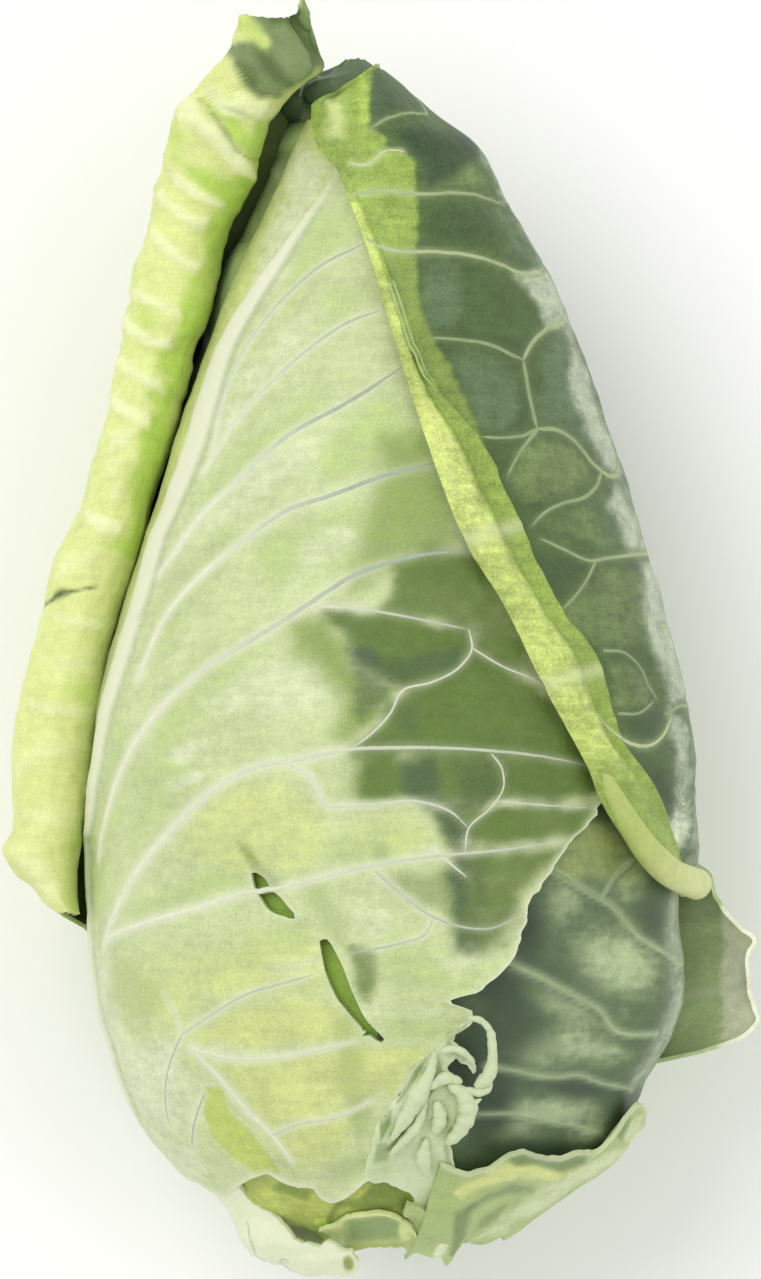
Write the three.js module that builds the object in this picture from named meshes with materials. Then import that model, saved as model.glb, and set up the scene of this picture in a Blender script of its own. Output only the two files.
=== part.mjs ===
// A pointed cabbage: nested leaves round a heart on a cut stalk, lying on its back.
// Millimetres, +Z up. The head's axis runs along +Y from the cut stalk to the tip, and its
// underside is pressed flat where it rests. A place on the head is a turn in degrees about that
// axis (0 on top, 90 on the right, 180 below), a height along it and a depth below the skin.
import * as THREE from 'three';

// Driving dimensions.
const WRAP_STEP = 3; // from one leaf layer to the next
const LEAF_THICKNESS = 1.8;
const ROUNDNESS = 0.93; // the head is a little flatter than it is wide
const PRESSED_IN = 3; // how far the underside is pressed flat
const HEAD_WIDEST = 65; // radius of the skin at its widest
const TIP_HEIGHT = 257;
const TIP_LEAN_FROM = 225; // the tip leans to the left above this height
const TIP_LEAN = 6.3;
const STALK_RADIUS = 15;
const STALK_END = 8.5;
const STALK_TOP = 17.7;
const HEART_BASE = 18;
const SOCKET_RADIUS = 16.6; // the heart goes down round the top of the stalk
const SOCKET_RIM = 12.5;
const HEART_DEPTH = 3 * WRAP_STEP;
const OUTERMOST = -WRAP_STEP;
const AXIS_Z = ROUNDNESS * (HEAD_WIDEST - OUTERMOST) - PRESSED_IN;

// The skin's radius at each height.
const SKIN = [
  [0, 8], [4, 15], [8, 24], [12, 31], [16, 37], [22, 45], [27, 50], [33, 54], [44, 58.5],
  [58, 62.5], [79, 64.5], [98, HEAD_WIDEST], [118, 63.5], [137, 59], [159, 52.5], [178, 46.2],
  [197, 39.5], [212, 33.8], [221, 29.5], [231, 24.8], [238, 21.3], [243, 17.5], [249, 12],
  [253, 8], [256, 3.5], [TIP_HEIGHT, 1.5],
];

// Heights at which every leaf has a row of points, closer where the skin bends.
const ROWS = [
  4, 8, 12, 16, 20, 25, 31, 38, 47, 58, 72, 80, 88, 96, 104, 120, 136, 152, 168, 184, 199, 213, 226, 238,
  248, 255, 261,
];

// Smooth value through [position, value] pairs, held level beyond both ends.
function through(points, at) {
  const last = points.length - 1;
  if (at <= points[0][0]) return points[0][1];
  if (at >= points[last][0]) return points[last][1];
  const i = points.findIndex(([position]) => position > at) - 1;
  const slope = (k) => (points[k + 1][1] - points[k][1]) / (points[k + 1][0] - points[k][0]);
  const bend = (a, b) => (a * b > 0 ? (2 * a * b) / (a + b) : 0);
  const start = i > 0 ? bend(slope(i - 1), slope(i)) : slope(i);
  const end = i + 1 < last ? bend(slope(i), slope(i + 1)) : slope(i);
  const width = points[i + 1][0] - points[i][0];
  const t = (at - points[i][0]) / width;
  return points[i][1] * (1 + 2 * t) * (1 - t) ** 2 + points[i + 1][1] * t * t * (3 - 2 * t)
    + width * (start * t * (1 - t) ** 2 - end * t * t * (1 - t));
}

const ease = THREE.MathUtils.smoothstep;
const radians = THREE.MathUtils.degToRad;

const skinRadius = (height) => through(SKIN, height);
function axisX(height) {
  const leaning = Math.max(0, height - TIP_LEAN_FROM) / (TIP_HEIGHT - TIP_LEAN_FROM);
  return -TIP_LEAN * leaning ** 2;
}

// A point on the head. Below, every layer is pressed flat, each above the one outside it.
function onHead(turn, height, depth) {
  const radius = Math.max(0.5, skinRadius(height) - depth);
  const x = axisX(height) + radius * Math.sin(radians(turn));
  const z = AXIS_Z + ROUNDNESS * radius * Math.cos(radians(turn));
  return new THREE.Vector3(x, height, Math.max(z, ROUNDNESS * (depth - OUTERMOST)));
}

// An edge given by [height, x] as it is seen from above, turned into degrees about the axis.
function seenEdge(points, depth) {
  return (height) => {
    const across = (through(points, height) - axisX(height)) / (skinRadius(height) - depth);
    return THREE.MathUtils.radToDeg(Math.asin(THREE.MathUtils.clamp(across, -1, 1)));
  };
}

// An edge given by [height, turn], for the sides and the back.
const hiddenEdge = (points) => (height) => through(points, height);

// A closed solid between an outer and an inner grid of points, with walls round its edge.
function sheetSolid(outer, inner) {
  const rows = outer.length;
  const columns = outer[0].length;
  const positions = [...outer.flat(), ...inner.flat()].flatMap((point) => point.toArray());
  const front = (i, j) => i * columns + j;
  const back = (i, j) => rows * columns + front(i, j);
  const faces = [];
  const quad = (a, b, c, d) => faces.push(a, b, c, a, c, d);
  for (let i = 0; i + 1 < rows; i += 1) {
    for (let j = 0; j + 1 < columns; j += 1) {
      quad(front(i, j), front(i, j + 1), front(i + 1, j + 1), front(i + 1, j));
      quad(back(i, j), back(i + 1, j), back(i + 1, j + 1), back(i, j + 1));
    }
    quad(front(i, 0), front(i + 1, 0), back(i + 1, 0), back(i, 0));
    quad(front(i + 1, columns - 1), front(i, columns - 1), back(i, columns - 1), back(i + 1, columns - 1));
  }
  for (let j = 0; j + 1 < columns; j += 1) {
    quad(front(0, j + 1), front(0, j), back(0, j), back(0, j + 1));
    quad(front(rows - 1, j), front(rows - 1, j + 1), back(rows - 1, j + 1), back(rows - 1, j));
  }
  const geometry = new THREE.BufferGeometry();
  geometry.setAttribute('position', new THREE.Float32BufferAttribute(positions, 3));
  geometry.setIndex(faces);
  return geometry;
}

// The rows of a leaf between two heights, dropping any that would make a sliver.
function rowsBetween(bottom, top, heights = ROWS) {
  const inside = heights.filter((height) => height > bottom + 1.5 && height < top - 1.5);
  return [bottom, ...inside, top];
}

// A leaf that lies on the head: its left and right edges give its shape, and depth is one
// number or a function of turn and height. Shares are the columns' places from edge to edge.
function wrappedLeaf({ bottom, top, left, right, depth, shares, thickness = LEAF_THICKNESS, swell }) {
  const outer = [];
  const inner = [];
  for (const height of rowsBetween(bottom, top)) {
    const turns = shares(left(height), right(height), height);
    const depthAt = (turn) => (typeof depth === 'function' ? depth(turn, height) : depth);
    const swellAt = (turn) => (swell ? swell(turn, height) : 0);
    outer.push(turns.map((turn) => onHead(turn, height, depthAt(turn) - swellAt(turn))));
    inner.push(turns.map((turn) => onHead(turn, height, depthAt(turn) + thickness)));
  }
  return sheetSolid(outer, inner);
}

// Columns spread evenly from edge to edge.
const evenly = (count) => (from, to) => (
  Array.from({ length: count + 1 }, (_, k) => THREE.MathUtils.lerp(from, to, k / count))
);

// A short leaf that goes round the head as a band: its lower and upper edges are heights given
// by [turn, height], and depth is a function of turn and height.
function bandLeaf({ from, to, lower, upper, depth, columns, rows, thickness = LEAF_THICKNESS }) {
  const turns = evenly(columns)(from, to);
  const layer = (into) => evenly(rows)(0, 1).map((share) => turns.map((turn) => {
    const height = THREE.MathUtils.lerp(through(lower, turn), through(upper, turn), share);
    return onHead(turn, height, depth(turn, height) + into);
  }));
  return sheetSolid(layer(0), layer(thickness));
}

const group = new THREE.Group();

function addPiece(name, geometry, colour, roughness = 0.6) {
  const material = new THREE.MeshStandardMaterial({ color: colour, roughness, metalness: 0 });
  const mesh = new THREE.Mesh(geometry, material);
  mesh.name = name;
  group.add(mesh);
}

// A turned solid on the head's axis, from [radius, height] pairs that start and end on it.
function turnedSolid(profile, segments, depth) {
  const points = profile.map(([radius, height]) => new THREE.Vector2(radius, height));
  const geometry = new THREE.LatheGeometry(points, segments);
  const position = geometry.getAttribute('position');
  const lowest = ROUNDNESS * (depth - OUTERMOST);
  for (let i = 0; i < position.count; i += 1) {
    const height = position.getY(i);
    position.setX(i, position.getX(i) + axisX(height));
    position.setZ(i, Math.max(lowest, AXIS_Z + ROUNDNESS * position.getZ(i)));
  }
  return geometry;
}

// Heart: the packed bud, three layers below the skin.
function heart() {
  const heights = ROWS.filter((height) => height > SOCKET_RIM + 1 && skinRadius(height) > HEART_DEPTH + 1);
  const side = [SOCKET_RIM, ...heights].map((height) => [skinRadius(height) - HEART_DEPTH, height]);
  const base = [[0, HEART_BASE], [SOCKET_RADIUS, HEART_BASE], [SOCKET_RADIUS, SOCKET_RIM]];
  const heartTip = heights.at(-1) + 3;
  return turnedSolid([...base, ...side, [0, heartTip]], 24, HEART_DEPTH);
}

// Stalk: the cut end of the stem, with a broken edge.
function stalk() {
  const chamfer = 1.5;
  const profile = [
    [0, STALK_END], [STALK_RADIUS - chamfer, STALK_END], [STALK_RADIUS, STALK_END + chamfer],
    [STALK_RADIUS + 1, STALK_TOP], [0, STALK_TOP],
  ];
  return turnedSolid(profile, 24, HEART_DEPTH);
}

// Tip leaf: under the front leaf on the left side, up to the head's tip.
function tipLeaf() {
  return wrappedLeaf({
    bottom: 47,
    top: 255,
    left: hiddenEdge([[47, -100], [104, -128], [213, -150], [255, -150]]),
    right: hiddenEdge([[47, -45], [104, -10], [213, 40], [255, 90]]),
    depth: (turn, height) => 2 * WRAP_STEP - 3.2 * ease(height, 249, 256),
    shares: evenly(13),
  });
}

// Inner back leaf: closes the head below, under the outer leaves.
function innerBackLeaf() {
  return wrappedLeaf({
    bottom: 12,
    top: 246,
    left: hiddenEdge([[12, 112], [88, 118], [200, 140], [246, 150]]),
    right: hiddenEdge([[12, 252], [88, 258], [130, 258], [200, 205], [246, 195]]),
    depth: WRAP_STEP,
    shares: evenly(13),
  });
}

// Front leaf: its left edge is its midrib, on the head's left side, and bends over the top.
// Its right edge goes under the right leaf, and is torn free below it.
const FRONT_LEFT = [
  [14, -37], [20, -44], [31, -52], [47, -60], [72, -63], [120, -62], [136, -56.5], [147, -52], [163, -47.7],
  [184, -41], [199, -35.7], [216, -28.8], [231, -22.5], [243, -16.5],
];
const FRONT_RIGHT = [
  [14, -27], [18, -25], [20, -15], [24, -3.5], [31, -1], [38, 1], [47, 8], [53, 13], [59, 14.5], [63, 21],
  [70, 28], [78, 30], [88, 36], [94, 41], [101, 46], [108, 47], [123, 38.6], [142, 29], [154, 22],
  [176, 13.4], [196, 7], [217, 0], [231, -4], [243, -9],
];
const ROUND_THE_SIDE = 8; // how far its left edge goes on down the side, in degrees
function frontLeaf() {
  const seenLeft = seenEdge(FRONT_LEFT, WRAP_STEP);
  return wrappedLeaf({
    bottom: 14,
    top: 243,
    left: (height) => seenLeft(height) - ROUND_THE_SIDE * (1 - ease(height, 120, 150)),
    right: seenEdge(FRONT_RIGHT, WRAP_STEP),
    depth: WRAP_STEP,
    shares: evenly(14),
  });
}

// Right leaf: a thick rib runs up its left edge from the blunt cut end of its stem at the
// lower right, and the blade goes round the head's right side to the back.
const RIB_LEFT = [
  [80, 62], [88, 53.5], [100, 45.2], [107.5, 42], [123, 33.6], [142, 24.2], [154, 16.8], [176, 8.4],
  [196, 2.1], [217, -4.2], [230, -8.4], [237, -12.6], [246, -15.3], [254, -8],
];
const RIB_RIGHT = [
  [80, 64.8], [88, 62], [102, 56.7], [113, 49.4], [130, 44], [140, 36.8], [157, 28.4], [175, 20],
  [184, 12.5], [197, 4.8], [208, -1.5], [217, -3.2], [230, -7], [246, -14], [254, -7],
];
const RIB_HEIGHT = [[80, 3], [92, 4.4], [100, 4], [140, 3], [175, 2.2], [200, 1.2], [218, 0]];
const RIB_COLUMNS = [0, 0.22, 0.5, 0.78, 1];
const BLADE_COLUMNS = 9;
function rightLeaf() {
  const ribLeft = seenEdge(RIB_LEFT, 0);
  const ribRight = seenEdge(RIB_RIGHT, 0);
  const ribTurns = (height) => [ribLeft(height), Math.max(ribLeft(height) + 5, ribRight(height))];
  return wrappedLeaf({
    bottom: 80,
    top: 254,
    left: ribLeft,
    right: hiddenEdge([[80, 97], [88, 110], [104, 122], [213, 135], [254, 170]]),
    depth: 0,
    shares: (from, to, height) => {
      const [ribFrom, ribTo] = ribTurns(height);
      const rib = RIB_COLUMNS.map((share) => THREE.MathUtils.lerp(ribFrom, ribTo, share));
      return [...rib, ...evenly(BLADE_COLUMNS)(ribTo, to).slice(1)];
    },
    swell: (turn, height) => {
      const [ribFrom, ribTo] = ribTurns(height);
      const across = THREE.MathUtils.clamp((turn - ribFrom) / (ribTo - ribFrom), 0, 1);
      return through(RIB_HEIGHT, height) * Math.sin(Math.PI * across);
    },
  });
}

// Lower right leaf: dark, under the front leaf and the right leaf, at the skin where it is free.
function lowerRightLeaf() {
  return wrappedLeaf({
    bottom: 12,
    top: 120,
    left: hiddenEdge([[12, 26], [20, 19], [31, 6], [47, -2], [88, 14], [120, 30]]),
    right: hiddenEdge([[12, 105], [47, 112], [88, 108], [120, 100]]),
    depth: (turn, height) => {
      const beside = ease(turn, 54, 70);
      const free = ease(height, 40, 52) * (1 - ease(height, 62, 78));
      return 2 * WRAP_STEP - beside * (WRAP_STEP + 2.4 * free);
    },
    shares: evenly(12),
  });
}

// Left curl leaf: hugs the back on the left, then springs away from the head and rolls its
// crinkled edge over, down to the level of the axis. Its tip stands above the head's tip.
const CURL_OUTER_X = [
  [12, -40], [60, -66], [76, -76], [90, -79.5], [111, -78.3], [131, -74], [150, -69.5],
  [163, -64.5], [178, -61],
  [191, -57.3], [211, -52.8], [229, -48.5], [240, -46], [246, -43], [251, -37.5], [256, -32], [266, -31],
];
const CURL_EDGE_X = [
  [12, -38], [60, -64], [77, -66.5], [94, -63.4], [113, -62], [132, -58.5], [148.5, -53.5], [159, -51],
  [176, -46.5], [191, -43], [203, -37.3], [217, -34], [228, -29.6], [239, -25], [244, -23.3],
  [249, -18], [254, -13], [259, -14.5], [266, -17],
];
const CURL_RISE = [[77, 9], [230, 10], [250, 7], [266, 3]];
const CURL_LIFT = [[225, 0], [252, 9], [266, 10]];
// Where its two edges run along that section, as shares of it from below the head to the roll.
const CURL_FIRST = [[12, 0.15], [150, 0.084], [213, 0.12], [240, 0.4], [266, 0.56]];
const CURL_LAST = [
  [12, 0.385], [60, 0.47], [76, 0.56], [80, 0.69], [85, 0.86], [91, 1], [250, 1], [266, 0.917],
];
const CURL_HUGS = [150, 165, 180, 195, 210, 224]; // turns where it lies on the back
const ROLL_ANGLES = [180, 135, 90, 45, 0, -40]; // round the roll, from outside to its edge
const CURL_COLUMNS = 16;
const CURL_ROWS = [...ROWS, 66, 76, 84, 92].sort((a, b) => a - b);
function curlSection(height) {
  const headHeight = Math.min(height, TIP_HEIGHT);
  const radius = skinRadius(headHeight) - OUTERMOST;
  const flat = (x, z) => new THREE.Vector3(x, height, z);
  const hugging = CURL_HUGS.map((turn) => onHead(turn, headHeight, OUTERMOST).setY(height));
  const outerX = through(CURL_OUTER_X, height);
  const edgeX = through(CURL_EDGE_X, height);
  const middleX = (outerX + edgeX) / 2;
  const halfWidth = (edgeX - outerX) / 2;
  const rise = through(CURL_RISE, height);
  const middleZ = AXIS_Z + through(CURL_LIFT, height);
  const leaving = hugging.at(-1);
  const bulge = 0.1 * radius;
  const between = flat((leaving.x + outerX) / 2 - bulge, (leaving.z + middleZ) / 2 - bulge / 2);
  const roll = ROLL_ANGLES.map((angle) => (
    flat(middleX + halfWidth * Math.cos(radians(angle)), middleZ + rise * Math.sin(radians(angle)))
  ));
  return new THREE.CatmullRomCurve3([...hugging, between, ...roll], false, 'centripetal');
}
function leftCurlLeaf() {
  const outer = [];
  const inner = [];
  const axis = new THREE.Vector3(0, 1, 0);
  for (const height of rowsBetween(12, 266, CURL_ROWS)) {
    const section = curlSection(height);
    const from = through(CURL_FIRST, height);
    const to = through(CURL_LAST, height);
    const places = evenly(CURL_COLUMNS)(from, to);
    const points = places.map((place) => section.getPoint(place));
    points.forEach((point) => point.setZ(Math.max(0, point.z)));
    const inward = places.map((place) => axis.clone().cross(section.getTangent(place)).normalize());
    outer.push(points);
    inner.push(points.map((point, k) => {
      const moved = point.clone().addScaledVector(inward[k], LEAF_THICKNESS);
      return moved.setZ(Math.max(LEAF_THICKNESS, moved.z));
    }));
  }
  return sheetSolid(outer, inner);
}

// Ear leaf: lies on the back at the right, under the curl leaf's edge, and a lobe of it sticks
// out past the head's right side.
const EAR_TURN = [
  [14, 122], [38, 118], [45, 113], [50, 101], [58, 97], [72, 97], [80, 100], [87, 104], [93, 113],
  [140, 126], [156, 140],
];
function earLeaf() {
  return wrappedLeaf({
    bottom: 14,
    top: 156,
    left: hiddenEdge(EAR_TURN),
    right: hiddenEdge([[14, 175], [88, 190], [140, 186], [156, 172]]),
    depth: (turn, height) => {
      const tucked = WRAP_STEP * ease(turn, 142, 156);
      const standing = 12.5 * (1 - ease(turn, 96, 117)) * ease(height, 38, 50);
      return OUTERMOST + tucked - standing;
    },
    shares: evenly(13),
  });
}

// Torn leaves round the base, short stubs of outer leaves that end in the open.
function baseLeafLeft() {
  return bandLeaf({
    from: -106,
    to: -18,
    lower: [[-106, 17], [-92, 9], [-75, 3], [-60, 0.5], [-30, 0.5], [-18, 3]],
    upper: [[-106, 27], [-84, 26], [-62, 22], [-50, 15], [-40, 10], [-18, 8.5]],
    depth: (turn, height) => -1.4 - 11 * (1 - ease(height, 0, 15)),
    columns: 9,
    rows: 4,
  });
}

function baseLeafRight() {
  return bandLeaf({
    from: 20,
    to: 104,
    lower: [[20, 19], [30, 12], [44, 7], [60, 6], [80, 7], [104, 12]],
    upper: [[20, 23.5], [34, 26], [46, 30], [58, 29], [72, 28], [84, 37], [104, 38]],
    depth: (turn, height) => -0.5 - 1.2 * ease(turn, 40, 80) * (1 - ease(height, 20, 38)),
    columns: 9,
    rows: 4,
  });
}

function ruffledLeaf() {
  return wrappedLeaf({
    bottom: 26,
    top: 56,
    left: hiddenEdge([[26, 3], [38, 4], [47, 12], [56, 18]]),
    right: hiddenEdge([[26, 17], [31, 21], [47, 25], [56, 23]]),
    depth: 0.6,
    shares: evenly(4),
  });
}

function oliveLeaf() {
  return wrappedLeaf({
    bottom: 9,
    top: 36,
    left: hiddenEdge([[9, -60], [20, -56], [36, -40]]),
    right: hiddenEdge([[9, 14], [20, 12], [36, -12]]),
    depth: 2 * WRAP_STEP + 0.9,
    thickness: 1.3,
    shares: evenly(7),
  });
}

function baseFlap() {
  return wrappedLeaf({
    bottom: 7,
    top: 18,
    left: hiddenEdge([[7, -19], [18, -12]]),
    right: hiddenEdge([[7, 15], [18, 8]]),
    depth: WRAP_STEP - 1,
    shares: evenly(3),
  });
}

function baseLobe() {
  return wrappedLeaf({
    bottom: 3,
    top: 19,
    left: hiddenEdge([[3, 34], [8, 20], [12, 15], [19, 11]]),
    right: hiddenEdge([[3, 42], [8, 34], [12, 25], [19, 15.5]]),
    depth: (turn, height) => 0.5 - 3 * (1 - ease(height, 2, 9)),
    shares: evenly(2),
  });
}

const PALE_GREEN = 0xc5d9a0;
const CREAM_GREEN = 0xdde6c4;
const LIME = 0xb6d35a;
const MID_GREEN = 0x7f9a5e;
const DARK_GREEN = 0x4c6b48;
const BLUE_GREEN = 0x4a6a54;
const OLIVE = 0x9aac4c;
addPiece('heart', heart(), PALE_GREEN);
addPiece('stalk', stalk(), CREAM_GREEN, 0.75);
addPiece('tip_leaf', tipLeaf(), DARK_GREEN);
addPiece('inner_back_leaf', innerBackLeaf(), MID_GREEN);
addPiece('lower_right_leaf', lowerRightLeaf(), BLUE_GREEN);
addPiece('front_leaf', frontLeaf(), PALE_GREEN);
addPiece('right_leaf', rightLeaf(), DARK_GREEN);
addPiece('left_curl_leaf', leftCurlLeaf(), LIME);
addPiece('ear_leaf', earLeaf(), MID_GREEN);
addPiece('base_leaf_left', baseLeafLeft(), CREAM_GREEN);
addPiece('base_leaf_right', baseLeafRight(), PALE_GREEN);
addPiece('ruffled_leaf', ruffledLeaf(), PALE_GREEN);
addPiece('olive_leaf', oliveLeaf(), OLIVE);
addPiece('base_flap', baseFlap(), MID_GREEN);
addPiece('base_lobe', baseLobe(), MID_GREEN);

// The origin is below the middle of the whole, on the surface that it lies on.
const box = new THREE.Box3().setFromObject(group);
const middle = box.getCenter(new THREE.Vector3());
group.position.set(-middle.x, -middle.y, -box.min.z);

export default group;
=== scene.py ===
# %% [markdown]
# A pointed cabbage, lying on its back with its point away from the stalk end.
# The head is a bud: thin leaves wrap a heart in layers, and each one shows where the next
# one out ends. Every leaf is made the same way: a grid of points that lies on the head,
# raised where it has veins and puckers, then closed into a thin sheet with a wall round
# its edge. Colours come from marks that are stored at the grid's points.

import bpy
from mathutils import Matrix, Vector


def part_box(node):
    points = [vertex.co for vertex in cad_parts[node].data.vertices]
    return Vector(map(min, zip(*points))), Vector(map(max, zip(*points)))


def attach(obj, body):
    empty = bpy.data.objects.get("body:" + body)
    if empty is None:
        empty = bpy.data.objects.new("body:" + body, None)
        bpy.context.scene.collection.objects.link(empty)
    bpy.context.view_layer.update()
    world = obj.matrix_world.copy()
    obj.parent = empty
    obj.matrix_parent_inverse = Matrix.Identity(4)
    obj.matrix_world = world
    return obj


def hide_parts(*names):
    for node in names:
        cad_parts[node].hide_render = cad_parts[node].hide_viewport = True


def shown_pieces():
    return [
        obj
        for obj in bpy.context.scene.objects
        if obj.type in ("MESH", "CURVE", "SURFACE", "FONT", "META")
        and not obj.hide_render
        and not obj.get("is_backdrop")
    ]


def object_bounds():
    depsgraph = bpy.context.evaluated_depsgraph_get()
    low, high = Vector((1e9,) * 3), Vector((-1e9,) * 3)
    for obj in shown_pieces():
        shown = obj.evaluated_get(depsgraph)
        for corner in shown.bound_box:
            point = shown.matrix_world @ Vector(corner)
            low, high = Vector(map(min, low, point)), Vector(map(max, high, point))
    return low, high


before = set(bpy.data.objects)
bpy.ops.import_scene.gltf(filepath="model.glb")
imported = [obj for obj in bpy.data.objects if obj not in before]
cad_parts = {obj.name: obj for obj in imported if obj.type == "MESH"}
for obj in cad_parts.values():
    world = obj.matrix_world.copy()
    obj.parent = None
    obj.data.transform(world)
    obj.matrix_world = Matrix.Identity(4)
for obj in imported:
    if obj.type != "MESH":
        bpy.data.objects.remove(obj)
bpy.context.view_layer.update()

# %% [markdown]
# The leaves have some thousands of points each, so NumPy works on whole grids at once.
# A plain loop would do the same far more slowly. KDTree finds the vein nearest to a point.

# %% The other modules
import math
import bpy
import numpy as np
from mathutils import Vector
from mathutils.kdtree import KDTree

# %% [markdown]
# The leaves are laid out in millimetres round the head's axis, as the CAD lays them out:
# a place has a turn in degrees (0 on top, 90 on the right, 180 below), a height along the
# axis and a depth below the skin. The heart is the same all round, so its CAD box says
# where the axis is in the frame, and everything is moved there and scaled to metres.

# %% Where the axis is
MM = 0.001
HEART_RIM = 12.5  # the height of the heart's lower edge
heart_low, heart_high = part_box("heart")
SHIFT = np.array([(heart_low.x + heart_high.x) / 2 / MM, heart_low.y / MM - HEART_RIM, 0.0])
print("axis moved by", SHIFT.round(3), "mm")


def in_metres(points):
    return (np.asarray(points, float) + SHIFT) * MM

# %% [markdown]
# The skin is the head's outside without its loose leaves. A head of cabbage isn't turned
# on a lathe: it is pressed flat where it lies, and its point leans. So the radius is given
# at some heights, and the flattening and the lean come on top.

# %% The head's skin
WRAP_STEP = 3.0  # from one leaf layer to the next
ROUNDNESS = 0.93  # the head is a little flatter than it is wide
OUTERMOST = -WRAP_STEP
TIP_HEIGHT = 257.0
TIP_LEAN_FROM = 225.0
TIP_LEAN = 6.3  # how far the point leans to the left
WIDEST = 65.0  # the skin's largest radius
PRESSED = 3.0  # how much of the roundness the floor takes away
JUST_ABOVE = 0.05  # nothing goes below this, so that nothing sinks into the floor
SKIN = [
    (0, 8), (4, 15), (8, 24), (12, 31), (16, 37), (22, 45), (27, 50), (33, 54), (44, 58.5),
    (58, 62.5), (79, 64.5), (98, 65), (118, 63.5), (137, 59), (159, 52.5), (178, 46.2),
    (197, 39.5), (212, 33.8), (221, 29.5), (231, 24.8), (238, 21.3), (243, 17.5), (249, 12),
    (253, 8), (256, 3.5), (TIP_HEIGHT, 1.5),
]
AXIS_Z = ROUNDNESS * (WIDEST - OUTERMOST) - PRESSED
NARROWER_RIGHT = [  # near the tip the head is flatter on its right, by this share
    (205, 1), (212, 0.985), (226, 0.93), (237, 0.9), (247, 0.68), (252, 0.64), (257, 0.5),
]
print(len(SKIN), "radii give the skin")

# %% [markdown]
# A few numbers say how a thing changes along the leaf, and a smooth curve joins them. A
# spline would swing past them where they turn sharply, so each curve is level at its turns.

# %% Curves through a few values
def through(pairs, at):
    """Smooth value through (position, value) pairs, held level beyond both ends."""
    x, y = np.array(pairs, float).T
    at = np.clip(np.asarray(at, float), x[0], x[-1])
    slope = np.diff(y) / np.diff(x)
    product = slope[:-1] * slope[1:]
    total = np.where(product > 0, slope[:-1] + slope[1:], 1.0)
    bend = np.where(product > 0, 2 * product / total, 0.0)
    tangent = np.concatenate((slope[:1], bend, slope[-1:]))
    i = np.clip(np.searchsorted(x, at, side="right") - 1, 0, len(slope) - 1)
    width = x[i + 1] - x[i]
    t = (at - x[i]) / width
    return (y[i] * (1 + 2 * t) * (1 - t) ** 2 + y[i + 1] * t * t * (3 - 2 * t)
            + width * (tangent[i] * t * (1 - t) ** 2 - tangent[i + 1] * t * t * (1 - t)))


def ease(at, start, end):
    """0 before start, 1 after end, smooth between them."""
    t = np.clip((np.asarray(at, float) - start) / (end - start), 0, 1)
    return t * t * (3 - 2 * t)


def bell(at, reach):
    """1 at nought, falling smoothly to both sides, about a third at reach."""
    return np.exp(-(at / reach) ** 2)


print("halfway up the skin's radius is", through(SKIN, TIP_HEIGHT / 2).round(1), "mm")

# %% [markdown]
# With the skin known, a turn, a height and a depth give a point, and from above each x and
# height gives back the turn. Where leaves lie on the floor they are pressed flat in order.

# %% Places on the head
def skin_radius(height):
    return through(SKIN, height)


def axis_x(height):
    past = np.maximum(0, np.asarray(height, float) - TIP_LEAN_FROM)
    return -TIP_LEAN * (past / (TIP_HEIGHT - TIP_LEAN_FROM)) ** 2


def on_head(turn, height, depth):
    """A point on the head, in mm. Below, every layer is pressed flat on the one outside it."""
    turn, height, depth = np.broadcast_arrays(
        np.asarray(turn, float), np.asarray(height, float), np.asarray(depth, float))
    radius = np.maximum(0.5, skin_radius(height) - depth)
    aside = np.sin(np.radians(turn))
    aside = np.where(aside > 0, aside * through(NARROWER_RIGHT, height), aside)
    x = axis_x(height) + radius * aside
    z = AXIS_Z + ROUNDNESS * radius * np.cos(np.radians(turn))
    lowest = np.maximum(JUST_ABOVE, ROUNDNESS * (depth - OUTERMOST))
    return np.stack([x, height, np.maximum(z, lowest)], axis=-1)


def from_above(points):
    """The x and the height of every point, as they are seen from above."""
    return points[..., 0], points[..., 1]


def turn_at(x, height, depth):
    """The turn at which a leaf of that depth is seen at x from above."""
    across = (np.asarray(x, float) - axis_x(height)) / (skin_radius(height) - depth)
    across = np.where(across > 0, across / through(NARROWER_RIGHT, height), across)
    return np.degrees(np.arcsin(np.clip(across, -1, 1)))


print("the head is", 2 * WIDEST, "mm wide at its widest and", TIP_HEIGHT, "mm long")

# %% [markdown]
# Nothing that grew is even. This noise is smooth, runs from -1 to 1, and comes from seeded
# tables, so each run gives the same cabbage.

# %% Seeded unevenness
TALL = 97  # the tables' sizes have no common factor, so the noise repeats late
WIDE = 89


def wander(a, b, seed):
    """Smooth noise with about one swing in each unit of a and of b."""
    table = np.random.default_rng(seed).uniform(-1, 1, (TALL, WIDE))
    a, b = np.broadcast_arrays(np.asarray(a, float), np.asarray(b, float))
    i = np.floor(a).astype(int)
    j = np.floor(b).astype(int)
    u = a - i
    v = b - j
    u = u * u * (3 - 2 * u)
    v = v * v * (3 - 2 * v)
    near = j % WIDE
    far = (j + 1) % WIDE
    low = table[i % TALL, near] * (1 - u) + table[(i + 1) % TALL, near] * u
    high = table[i % TALL, far] * (1 - u) + table[(i + 1) % TALL, far] * u
    return low * (1 - v) + high * v


def cloudy(a, b, seed, octaves=3):
    total = sum(wander(np.asarray(a) * 2 ** k, np.asarray(b) * 2 ** k, seed + k) / 2 ** k
                for k in range(octaves))
    return total / (2 - 0.5 ** (octaves - 1))


sample = cloudy(np.arange(200) / 3, 0.5, 1)
print("noise runs from", sample.min().round(2), "to", sample.max().round(2))

# %% [markdown]
# A leaf is a grid: rows of one height, columns of one share of its width. The class keeps
# the grid's points with the direction that faces out at each, raises them, marks them, and
# closes them into a sheet. A path on a leaf, such as a vein, is read off the raised grid.

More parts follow.
